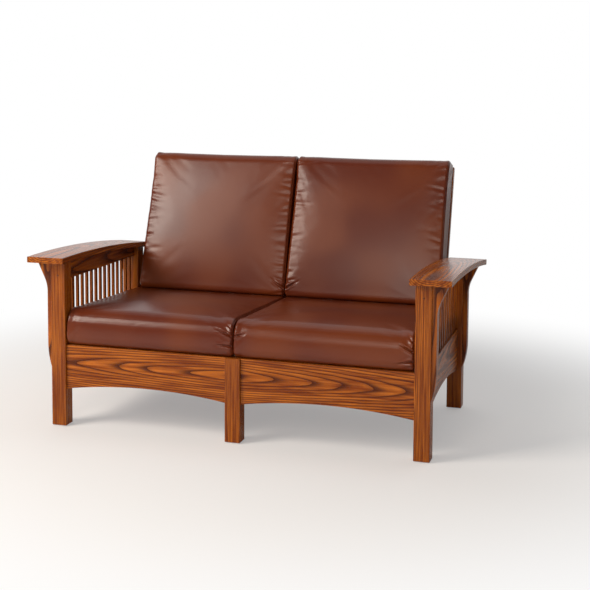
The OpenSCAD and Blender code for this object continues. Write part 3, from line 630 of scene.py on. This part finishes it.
@dataclass
class OakJoinery:
    """The show wood: every board that can be seen, with eased edges and its own grain."""

    finishes: Finishes
    weld_mm: float = 0.02
    flat_degrees: float = 0.4
    ease_from_degrees: float = 30.0
    ease_segments: int = 2
    boards: tuple[Board, ...] = field(default_factory=tuple)

    def build(self) -> None:
        """Makes a dressed copy of every board's node."""
        for board in self.boards:
            self._dress(board)
        LOG.info("oak joinery: %d pieces", len(self.boards))

    def _dress(self, board: Board) -> bpy.types.Object:
        """Copies one node, eases its edges and lays its grain.

        Args:
            board: the node and its cut.

        Returns:
            The new piece, which stands for the node.
        """
        mesh = bmesh.new()
        mesh.from_mesh(frame["nodes"][board.node].data)
        bmesh.ops.remove_doubles(mesh, verts=mesh.verts, dist=self.weld_mm * MM)
        bmesh.ops.dissolve_limit(
            mesh, angle_limit=math.radians(self.flat_degrees), verts=mesh.verts, edges=mesh.edges
        )
        self._lay_grain(mesh, board)
        data = bpy.data.meshes.new(board.node + "_board")
        mesh.to_mesh(data)
        mesh.free()
        data.materials.append(self.finishes.oak)
        data.shade_smooth()
        piece = bpy.data.objects.new(board.node + "_board", data)
        bpy.context.scene.collection.objects.link(piece)
        ease = piece.modifiers.new("eased_edges", "BEVEL")
        ease.width = board.ease_mm * MM
        ease.segments = self.ease_segments
        ease.limit_method = "ANGLE"
        ease.angle_limit = math.radians(self.ease_from_degrees)
        ease.use_clamp_overlap = True
        flats = piece.modifiers.new("flat_faces", "WEIGHTED_NORMAL")
        flats.keep_sharp = True
        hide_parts(board.node)
        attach(piece, FRAME_BODY)
        LOG.info("board %s, %s", piece.name, board.cut.value)
        return piece

    def _lay_grain(self, mesh: bmesh.types.BMesh, board: Board) -> None:
        """Gives every point its place in the log that its board was sawn from.

        The first value runs along the grain, the other two across the log with its pith at zero.

        Args:
            mesh: the node's welded mesh, which may hold several loose boards.
            board: the cut.
        """
        layer = mesh.verts.layers.float_vector.new(LOG_POINT)
        along = Vector(board.grain.value).normalized()
        chance = random.Random(board.seed)
        for island in self._islands(mesh):
            centre = sum((v.co for v in island), Vector()) / len(island)
            width, thick = self._faces_of(island, centre, along)
            lift = board.pith_mm * MM * chance.uniform(0.8, 1.25)
            slide = chance.uniform(-0.012, 0.012) - board.heart_mm * MM
            if board.cut is Cut.RIFT_SAWN:
                slide = lift * chance.uniform(0.8, 1.2)
            tilt = board.tilt * chance.choice((-1, 1)) * chance.uniform(0.7, 1.3)
            run = chance.uniform(0.0, 9.0)
            for vertex in island:
                away = vertex.co - centre
                length = away.dot(along)
                depth = away.dot(thick) + lift + tilt * length
                side = away.dot(width) + slide
                vertex[layer] = Vector((length + run, board.density * side, board.density * depth))

    @staticmethod
    def _faces_of(island: list, centre: Vector, along: Vector) -> tuple[Vector, Vector]:
        """Finds a board's width and thickness directions.

        Args:
            island: the board's vertices.
            centre: their middle.
            along: the direction of the grain.

        Returns:
            Unit vectors along the wide and along the thin way of the board.
        """
        first = Vector((1.0, 0.0, 0.0)) if abs(along.x) < 0.5 else Vector((0.0, 1.0, 0.0))
        second = along.cross(first).normalized()
        spans = []
        for direction in (first, second):
            reach = [(v.co - centre).dot(direction) for v in island]
            # To 0.1 mm, so that a square post is turned the same way each run.
            spans.append(round(max(reach) - min(reach), 4))
        return (first, second) if spans[0] >= spans[1] else (second, first)

    @staticmethod
    def _islands(mesh: bmesh.types.BMesh) -> list[list]:
        """Sorts the mesh into its loose boards.

        Args:
            mesh: the node's welded mesh.

        Returns:
            The vertices of each board, the boards in order of place.
        """
        waiting = set(mesh.verts)
        islands = []
        while waiting:
            stack = [waiting.pop()]
            island = []
            while stack:
                vertex = stack.pop()
                island.append(vertex)
                for edge in vertex.link_edges:
                    other = edge.other_vert(vertex)
                    if other in waiting:
                        waiting.remove(other)
                        stack.append(other)
            islands.append(island)
        islands.sort(key=lambda i: min(tuple(v.co) for v in i))
        return islands


def show_wood() -> tuple[Board, ...]:
    """Lists the boards of the frame.

    Returns:
        One entry for each CAD node of show wood.
    """
    boards = [
        Board("centre_leg_front", Grain.UPRIGHT, seed=5, ease_mm=0.8),
        Board("centre_leg_rear", Grain.UPRIGHT, seed=6, ease_mm=0.8),
        Board("centre_stretcher", Grain.DEEP, seed=7),
        Board("back_muntin", Grain.RECLINED, seed=8),
        Board("back_top_rail", Grain.ACROSS, Cut.FLAT_SAWN, seed=9),
        Board("back_bottom_rail", Grain.ACROSS, Cut.FLAT_SAWN, seed=10),
    ]
    for number, side in enumerate(Side):
        end = side.value
        seed = 20 + 20 * number
        boards += [
            Board(f"front_post_{end}", Grain.UPRIGHT, seed=seed, ease_mm=0.8),
            Board(f"rear_post_{end}", Grain.UPRIGHT, seed=seed + 1, ease_mm=0.8),
            Board(f"corbel_front_{end}", Grain.UPRIGHT, Cut.FLAT_SAWN, 1.6, seed=seed + 2),
            Board(f"corbel_rear_{end}", Grain.UPRIGHT, Cut.FLAT_SAWN, 1.6, seed=seed + 3),
            Board(f"arm_{end}", Grain.DEEP, Cut.FLAT_SAWN, 0.8, 90.0, 0.02, seed + 4),
            Board(f"upper_side_rail_{end}", Grain.DEEP, Cut.FLAT_SAWN, seed=seed + 5),
            Board(f"lower_side_rail_{end}", Grain.DEEP, Cut.FLAT_SAWN, seed=seed + 6),
            Board(f"side_slats_{end}", Grain.UPRIGHT, ease_mm=0.8, seed=seed + 7),
            Board(f"apron_{end}", Grain.ACROSS, Cut.FLAT_SAWN, 1.4, 52.0, 0.05, seed + 8, heart_mm=50.0),
            Board(f"rear_rail_{end}", Grain.ACROSS, Cut.FLAT_SAWN, seed=seed + 9),
            Board(f"back_stile_{end}", Grain.RECLINED, seed=seed + 10),
            Board(f"back_slats_{end}", Grain.RECLINED, Cut.FLAT_SAWN, 1.0, seed=seed + 11),
        ]
    return tuple(boards)


@dataclass
class HiddenParts:
    """Nodes whose CAD shape stays: the hidden oak, the fasteners, the plugs and the glides."""

    finishes: Finishes

    def build(self) -> None:
        """Gives every kept node its finish."""
        finish_of = {
            "oak_stained": self.finishes.hidden_oak,
            "oak_hidden": self.finishes.hidden_oak,
            "steel_zinc": self.finishes.steel,
            "nylon_black": self.finishes.nylon,
            "leather_brown": self.finishes.leather,
        }
        for part in frame["record"]["subparts"]:
            slots = frame["nodes"][part["node"]].material_slots
            for slot in slots:
                slot.material = finish_of[part["material_slot"]]


class Panel(Enum):
    """The part of a cushion's cover that a gather lies on."""

    FACE = "face"
    NOSE = "nose"


@dataclass(frozen=True)
class Gather:
    """One small fold that runs from an end seam into a panel."""

    end: Side
    panel: Panel
    at_mm: float
    depth_mm: float
    width_mm: float
    reach_mm: float
    lean: float = 0.0


@dataclass(frozen=True)
class Rolls:
    """Radii of a cushion's four long edges, in millimetres."""

    near_top: float
    near_under: float
    far_top: float
    far_under: float


@dataclass
class Cushion:
    """A loose cushion: one wrapped panel from end to end, an end panel at each side.

    The local frame has X across the loveseat, V from the near edge to the far edge and W through
    the thickness towards the sitter. W is zero where the cushion rests.
    """

    node: str
    body: str
    across_v: Vector
    through_w: Vector
    rolls: Rolls
    crown_mm: float
    finishes: Finishes
    gathers: tuple[Gather, ...] = ()
    under_slant_mm: float = 0.0
    end_roll_mm: float = 12.0
    end_roll_segments: int = 4
    long_roll_segments: int = 8
    end_belly_mm: float = 5.0
    end_crown: float = 0.45
    draw_in_mm: float = 3.0
    coarse_mm: float = 12.0
    fine_mm: float = 3.6
    fine_band_mm: float = 56.0
    seam_depth_mm: float = 1.6
    # The seam's place is a share of the end roll, its width a share of the fine grid.
    seam_place: float = 0.3
    seam_width: float = 0.6
    gather_fade: float = 0.9
    pressure: float = 4.0
    tension: float = 200.0
    bending: float = 2.0
    cloth_mass_kg: float = 0.4
    cloth_quality: int = 4
    frames: int = 20
    swell_mm: float = 8.0
    swell_cap_mm: float = 24.0
    swell_room_mm: float = 4.0
    proud_mm: float = 6.0
    neighbour_gap_mm: float = 0.6
    side_room_mm: float = 3.0
    pressed_mm: float = 70.0
    gather_shrink: float = 0.004
    wrinkle_mm: float = 1.3
    seed: int = 1

    def __post_init__(self) -> None:
        """Reads the cushion's place and size from its CAD node."""
        basis = Matrix((Vector((1.0, 0.0, 0.0)), self.across_v, self.through_w))
        points = np.array([basis @ v.co for v in frame["nodes"][self.node].data.vertices])
        self.low = Vector(points.min(0))
        self.high = Vector(points.max(0))
        self.to_world = basis.transposed()
        self.basis = basis
        self.size = self.high - self.low
        self.width = self.size.x

    def build(self) -> bpy.types.Object:
        """Cuts, fills, gathers and dresses the cushion.

        Returns:
            The finished piece, which stands for the CAD node.
        """
        mesh = self._blank()
        self._grid(mesh)
        self._in_order(mesh)
        self._crown(mesh)
        data = bpy.data.meshes.new(self.node + "_cover")
        mesh.to_mesh(data)
        mesh.free()
        data.shade_smooth()
        piece = bpy.data.objects.new(self.node + "_cover", data)
        bpy.context.scene.collection.objects.link(piece)
        rest = self._points(data)
        self._fill(piece, rest)
        rest = self._refine(piece, rest)
        self._fold(piece.data, rest)
        self._to_frame(piece.data)
        piece.data.materials.append(self.finishes.leather)
        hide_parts(self.node)
        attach(piece, self.body)
        LOG.info("cushion %s, %d faces", piece.name, len(piece.data.polygons))
        return piece

    def _blank(self) -> bmesh.types.BMesh:
        """Makes the cushion's block with its rolled edges, centred across and resting on W = 0.

        Returns:
            The block in the local frame, in metres.
        """
        room = self.swell_room_mm * MM
        width = self.width - 2 * room
        depth = self.size.y - room
        thick = self.size.z - self.crown_mm * MM
        mesh = bmesh.new()
        bmesh.ops.create_cube(mesh, size=1.0)
        bmesh.ops.scale(mesh, vec=(width, depth, thick), verts=mesh.verts)
        bmesh.ops.translate(mesh, vec=(0.0, 0.0, thick / 2), verts=mesh.verts)
        for near, top, radius in (
            (True, True, self.rolls.near_top), (True, False, self.rolls.near_under),
            (False, True, self.rolls.far_top), (False, False, self.rolls.far_under),
        ):
            self._roll(mesh, near, top, radius, width, thick)
        rim = [
            e for e in mesh.edges
            if all(abs(abs(v.co.x) - width / 2) < MM / 10 for v in e.verts)
            and abs((e.verts[0].co - e.verts[1].co).x) < MM
        ]
        bmesh.ops.bevel(
            mesh, geom=rim, offset=self.end_roll_mm * MM, segments=self.end_roll_segments, profile=0.5,
            affect="EDGES", material=-1,
        )
        return mesh

    def _roll(
        self, mesh: bmesh.types.BMesh, near: bool, top: bool, radius_mm: float, width: float, thick: float
    ) -> None:
        """Rounds one of the block's four long edges.

        Args:
            mesh: the block.
            near: true for the edge at the low end of V.
            top: true for the edge on the sitter's side.
            radius_mm: the radius.
            width: the block's width.
            thick: the block's thickness.
        """
        edges = [
            e for e in mesh.edges
            if abs((e.verts[0].co - e.verts[1].co).x) > width / 2
            and all((v.co.y < 0) == near and (v.co.z > thick / 2) == top for v in e.verts)
            and all(min(abs(v.co.z), abs(v.co.z - thick)) < MM / 10 for v in e.verts)
        ]
        reach = max(abs(v.co.y) for e in edges for v in e.verts)
        edges = [e for e in edges if all(abs(v.co.y) > reach - MM / 10 for v in e.verts)]
        bmesh.ops.bevel(
            mesh, geom=edges, offset=radius_mm * MM, segments=self.long_roll_segments, profile=0.5,
            affect="EDGES", material=-1,
        )

    def _grid(self, mesh: bmesh.types.BMesh) -> None:
        """Cuts the block's faces into a grid, finer near the ends and the near edge.

        Args:
            mesh: the block.
        """
        for axis in range(3):
            values = [v.co[axis] for v in mesh.verts]
            for place in self._cuts(min(values), max(values), axis):
                normal = Vector((0.0, 0.0, 0.0))
                normal[axis] = 1.0
                bmesh.ops.bisect_plane(
                    mesh, geom=mesh.verts[:] + mesh.edges[:] + mesh.faces[:], dist=MM,
                    plane_co=normal * place, plane_no=normal,
                )
        bmesh.ops.remove_doubles(mesh, verts=mesh.verts, dist=MM)

    @staticmethod
    def _in_order(mesh: bmesh.types.BMesh) -> None:
        """Sorts edges and faces by their three lowest vertices, so that each run fills the same mesh.

        Args:
            mesh: the gridded block, whose bevels leave them in an order that changes from run to run.
        """
        mesh.verts.index_update()
        count = len(mesh.verts)
        for parts in (mesh.edges, mesh.faces):
            parts.sort(key=lambda part: sum(
                index * count ** (2 - rank)
                for rank, index in enumerate(sorted(v.index for v in part.verts)[:3])
            ))

    def _cuts(self, low: float, high: float, axis: int) -> list[float]:
        """Places the cuts along one axis.

        Args:
            low: the lowest coordinate.
            high: the highest coordinate.
            axis: 0 across, 1 from near to far, 2 through the thickness.

        Returns:
            The cuts' coordinates, in order.
        """
        band = self.fine_band_mm * MM
        places = []
        place = low
        while place < high:
            near_edge = place - low < band if axis != 0 else min(place - low, high - place) < band
            step = self.fine_mm if near_edge or axis == 2 else self.coarse_mm
            place += step * MM
            if place < high - MM:
                places.append(place)
        return places

    def _crown(self, mesh: bmesh.types.BMesh) -> None:
        """Domes the sitter's side, swells the end panels and draws in the long sides.

        Args:
            mesh: the gridded block.
        """
        half_x = max(v.co.x for v in mesh.verts)
        half_y = max(v.co.y for v in mesh.verts)
        forward = self.size.y / 2 - half_y
        thick = max(v.co.z for v in mesh.verts)
        crown = self.crown_mm - self.swell_mm
        for vertex in mesh.verts:
            u, v, w = vertex.co.x / half_x, vertex.co.y / half_y, vertex.co.z / thick
            bow_x, bow_y = 1 - u * u, 1 - v * v
            dome = (self.end_crown + (1 - self.end_crown) * bow_x) * self._bow(v)
            lift = crown * MM * dome * w
            swell = self.end_belly_mm * MM * (4 * w * (1 - w) * bow_y ** 0.5 - 1)
            foot = self.under_slant_mm * MM * (1 - w - lift / thick) * (1 - v) / 2
            vertex.co.x += math.copysign(swell * abs(u) ** 8, u)
            vertex.co.y += foot - forward - self.draw_in_mm * MM * bow_x * max(v, 0.0) ** 3
            vertex.co.z += lift

    @staticmethod
    def _bow(v: float) -> float:
        """Returns the crown's share at v, fullest a third of the way from the near edge."""
        return 27 / 32 * (1 - v) ** 2 * (1 + v)

    @staticmethod
    def _points(data: bpy.types.Mesh) -> np.ndarray:
        """Returns the mesh's vertex coordinates, one row each."""
        flat = np.empty(len(data.vertices) * 3)
        data.vertices.foreach_get("co", flat)
        return flat.reshape(-1, 3)

    def _fill(self, piece: bpy.types.Object, rest: np.ndarray) -> None:
        """Fills the cover by a cloth simulation and keeps it within its own space.

        Args:
            piece: the cover, in the local frame.
            rest: its vertex coordinates before.
        """
        half_x = rest[:, 0].max()
        resting = [int(i) for i in np.flatnonzero(self._at_rest(rest))]
        near_end = self._from_end(rest[:, 0], half_x) < 2 * self.end_roll_mm * MM
        seam = [int(i) for i in np.flatnonzero(near_end)]
        piece.vertex_groups.new(name="resting").add(resting, 1.0, "REPLACE")
        piece.vertex_groups.new(name="gathered").add(seam, 1.0, "REPLACE")
        filling = piece.modifiers.new("filling", "CLOTH")
        cloth = filling.settings
        cloth.quality = self.cloth_quality
        cloth.mass = self.cloth_mass_kg
        cloth.tension_stiffness = self.tension
        cloth.compression_stiffness = self.tension / 2
        cloth.shear_stiffness = self.tension / 3
        cloth.bending_stiffness = self.bending
        cloth.use_pressure = True
        cloth.uniform_pressure_force = self.pressure
        cloth.vertex_group_mass = "resting"
        cloth.vertex_group_shrink = "gathered"
        cloth.shrink_max = self.gather_shrink
        cloth.effector_weights.gravity = 0.0
        filling.point_cache.frame_end = self.frames
        scene = bpy.context.scene
        for number in range(1, self.frames + 1):
            scene.frame_set(number)
        filled = self._points(piece.evaluated_get(bpy.context.evaluated_depsgraph_get()).data)
        piece.modifiers.remove(filling)
        scene.frame_set(1)
        moved = filled - rest
        length = np.linalg.norm(moved, axis=1, keepdims=True)
        moved *= min(1.0, self.swell_mm * MM / np.percentile(length, 95))
        length = np.linalg.norm(moved, axis=1, keepdims=True)
        moved *= np.minimum(1.0, self.swell_cap_mm * MM / np.maximum(length, 1e-9))
        LOG.info("filled %s: mean %.1f mm, most %.1f mm", self.node, length.mean() / MM, length.max() / MM)
        piece.data.vertices.foreach_set("co", (rest + moved).ravel())

    def _at_rest(self, rest: np.ndarray) -> np.ndarray:
        """Finds the points that a neighbour holds flat.

        Args:
            rest: the cover's vertex coordinates before it is filled.

        Returns:
            True for the side that lies on the frame, and for the foot of a back cushion or the
            rear of a seat cushion, which press on each other.
        """
        thick = self.size.z - self.crown_mm * MM
        if self.under_slant_mm:
            foot = rest[:, 1].min() + self.under_slant_mm * MM * (1 - rest[:, 2] / thick)
            pressed = rest[:, 1] < foot + MM
        else:
            pressed = (rest[:, 1] > rest[:, 1].max() - self.pressed_mm * MM) & (rest[:, 2] > thick * 0.95)
        return pressed | (rest[:, 2] < MM)

    def _refine(self, piece: bpy.types.Object, rest: np.ndarray) -> np.ndarray:
        """Subdivides the filled cover once, so that it can take narrow folds.

        Args:
            piece: the cover, in the local frame.
            rest: its vertex coordinates before it was filled.

        Returns:
            The finer cover's coordinates before it was filled.
        """
        finer = piece.modifiers.new("finer_grid", "SUBSURF")
        finer.levels = 1
        finer.render_levels = 1
        covers = []
        for points in (rest, self._points(piece.data)):
            piece.data.vertices.foreach_set("co", points.ravel())
            piece.data.update()
            bpy.context.view_layer.update()
            refined = piece.evaluated_get(bpy.context.evaluated_depsgraph_get())
            covers.append(bpy.data.meshes.new_from_object(refined))
        piece.modifiers.remove(finer)
        piece.data = covers[1]
        return self._points(covers[0])

    @staticmethod
    def _from_end(x: np.ndarray, half_x: float) -> np.ndarray:
        """Returns each point's distance from the nearer end of the cushion."""
        return half_x - np.abs(x)

    def _fold(self, data: bpy.types.Mesh, rest: np.ndarray) -> None:
        """Presses the gathers and the end seams into the cover.

        Args:
            data: the cover's mesh, in the local frame.
            rest: its vertex coordinates before it was filled.
        """
        points = self._points(data)
        flat = np.empty(len(points) * 3)
        data.vertex_normals.foreach_get("vector", flat)
        normals = flat.reshape(-1, 3)
        half_x = rest[:, 0].max()
        from_end = self._from_end(rest[:, 0], half_x)
        press = np.zeros(len(points))
        for gather in self.gathers + self._chance_gathers():
            if gather.panel is Panel.NOSE:
                along = rest[:, 2] / MM
                turned = np.clip(-normals[:, 1], 0, 1)
            else:
                along = (rest[:, 1] - rest[:, 1].min()) / MM
                turned = np.clip(normals[:, 2], 0, 1)
            here = np.sign(rest[:, 0]) == gather.end.sign
            inward = from_end / MM
            q = (along - gather.at_mm - gather.lean * inward) / gather.width_mm
            fade = np.clip(1 - inward / gather.reach_mm, 0, 1) ** self.gather_fade
            press += here * turned * fade * gather.depth_mm * (1 - q * q) * np.exp(-q * q / 2)
        seam_at = self.end_roll_mm * self.seam_place
        at_seam = np.exp(-(((from_end / MM - seam_at) / (self.fine_mm * self.seam_width)) ** 2))
        press += self.seam_depth_mm * at_seam * (np.abs(normals[:, 0]) < 0.95)
        points -= normals * press[:, None] * MM
        data.vertices.foreach_set("co", self._kept_in(self._snug(points)).ravel())
        data.update()

    def _chance_gathers(self) -> tuple[Gather, ...]:
        """Strews light wrinkles along both end seams.

        Returns:
            The wrinkles, the same each run.
        """
        chance = random.Random(self.seed)
        length = self.size.y / MM
        wrinkles = []
        for end in Side:
            place = chance.uniform(10, 30)
            while place < length:
                wrinkles.append(Gather(
                    end, Panel.FACE, place, self.wrinkle_mm * chance.uniform(0.3, 1.3),
                    chance.uniform(5.0, 11.0), chance.uniform(35.0, 95.0), chance.uniform(-0.25, 0.25),
                ))
                place += chance.uniform(16.0, 44.0)
        return tuple(wrinkles)

    def _snug(self, points: np.ndarray) -> np.ndarray:
        """Stretches the cover to its room, which the filling and the slant drew it back from.

        Args:
            points: vertex coordinates in the local frame.

        Returns:
            The coordinates, which reach the CAD solid's box across and from near to far.
        """
        for axis in (0, 1):
            low, high = points[:, axis].min(), points[:, axis].max()
            half = self.size[axis] / 2 + (self.side_room_mm * MM if axis == 0 else 0.0)
            points[:, axis] = (points[:, axis] - low) / (high - low) * 2 * half - half
        return points

    def _kept_in(self, points: np.ndarray) -> np.ndarray:
        """Keeps the cover clear of what it rests on and of its neighbours.

        Args:
            points: vertex coordinates in the local frame.

        Returns:
            The coordinates, held within the CAD solid's reach.
        """
        gap = self.neighbour_gap_mm * MM
        half_x = self.size.x / 2 + self.side_room_mm * MM - gap
        proud = self.proud_mm * MM
        points[:, 0] = np.clip(points[:, 0], -half_x, half_x)
        points[:, 1] = np.clip(points[:, 1], -self.size.y / 2 - proud, self.size.y / 2 + proud)
        points[:, 2] = np.clip(points[:, 2], 0.0, self.size.z + proud)
        return points

    def _to_frame(self, data: bpy.types.Mesh) -> None:
        """Takes the cover from its local frame to the loveseat's.

        Args:
            data: the cover's mesh.
        """
        middle = (self.low + self.high) / 2
        place = Matrix.Translation(self.to_world @ Vector((middle.x, middle.y, self.low.z)))
        data.transform(place @ self.to_world.to_4x4())


@dataclass
class Upholstery:
    """The two seat cushions and the two back cushions."""

    finishes: Finishes
    seat_slope: float = math.radians(3.0)
    recline: float = math.radians(19.0)
    back_pad_mm: float = 100.0

    def build(self) -> None:
        """Makes the four cushions."""
        for side in Side:
            self.seat(side).build()
            self.back(side).build()

    def seat(self, side: Side) -> Cushion:
        """Describes one seat cushion.

        Args:
            side: its half of the loveseat.

        Returns:
            The cushion, with the deep gathers at both ends of its nose.
        """
        slope = self.seat_slope
        gathers = {
            Side.LEFT: (
                Gather(Side.LEFT, Panel.NOSE, 22.0, 1.4, 6.0, 36.0, 0.3),
                Gather(Side.RIGHT, Panel.NOSE, 75.0, 11.0, 4.4, 70.0, 0.4),
                Gather(Side.RIGHT, Panel.NOSE, 100.0, 3.0, 5.0, 34.0, 0.7),
                Gather(Side.RIGHT, Panel.NOSE, 41.0, 9.0, 4.4, 66.0, 0.0),
                Gather(Side.RIGHT, Panel.NOSE, 18.0, 2.0, 6.0, 40.0, -0.25),
            ),
            Side.RIGHT: (
                Gather(Side.LEFT, Panel.NOSE, 77.0, 9.0, 4.4, 50.0, 0.25),
                Gather(Side.LEFT, Panel.NOSE, 102.0, 1.8, 6.0, 30.0, 0.6),
                Gather(Side.LEFT, Panel.NOSE, 30.0, 1.2, 6.0, 44.0, -0.1),
                Gather(Side.RIGHT, Panel.NOSE, 67.0, 11.0, 4.4, 54.0, 0.5),
                Gather(Side.RIGHT, Panel.NOSE, 57.0, 2.4, 3.6, 46.0, 0.45),
                Gather(Side.RIGHT, Panel.NOSE, 98.0, 4.0, 6.0, 34.0, 0.9),
                Gather(Side.RIGHT, Panel.NOSE, 37.0, 10.0, 5.0, 66.0, -0.25),
            ),
        }[side]
        return Cushion(
            f"seat_cushion_{side.value}", f"seat_pad_{side.value}",
            Vector((0.0, math.cos(slope), -math.sin(slope))), Vector((0.0, math.sin(slope), math.cos(slope))),
            Rolls(56.0, 34.0, 18.0, 24.0), 15.3, self.finishes, gathers, end_roll_mm=11.0, wrinkle_mm=0.4,
            seed=11 if side is Side.LEFT else 12,
        )

    def back(self, side: Side) -> Cushion:
        """Describes one back cushion.

        Args:
            side: its half of the loveseat.

        Returns:
            The cushion, with more wrinkles along its ends than the seat has.
        """
        lean = self.recline
        inner = side.other()
        gathers = (
            Gather(inner, Panel.FACE, 26.0, 9.0, 5.0, 64.0, 0.6),
            Gather(inner, Panel.FACE, 56.0, 6.0, 6.0, 54.0, 0.2),
            Gather(inner, Panel.FACE, 96.0, 1.4, 6.0, 40.0, 0.1),
            Gather(side, Panel.FACE, 216.0, 1.8, 5.0, 46.0, 0.0),
        )
        return Cushion(
            f"back_cushion_{side.value}", f"back_pad_{side.value}",
            Vector((0.0, math.sin(lean), math.cos(lean))), Vector((0.0, -math.cos(lean), math.sin(lean))),
            Rolls(28.0, 22.0, 40.0, 24.0), 15.0, self.finishes, gathers,
            under_slant_mm=self.back_pad_mm * math.tan(self.recline - self.seat_slope),
            swell_mm=6.0, wrinkle_mm=1.9, seed=31 if side is Side.LEFT else 32,
        )


def main() -> None:
    """Builds the loveseat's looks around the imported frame."""
    logging.basicConfig(level=logging.INFO, format="%(name)s: %(message)s")
    PhotoCamera().build()
    Studio().build()
    finishes = Finishes.make()
    HiddenParts(finishes).build()
    OakJoinery(finishes, boards=show_wood()).build()
    Upholstery(finishes).build()


if __name__ == "__main__":
    main()
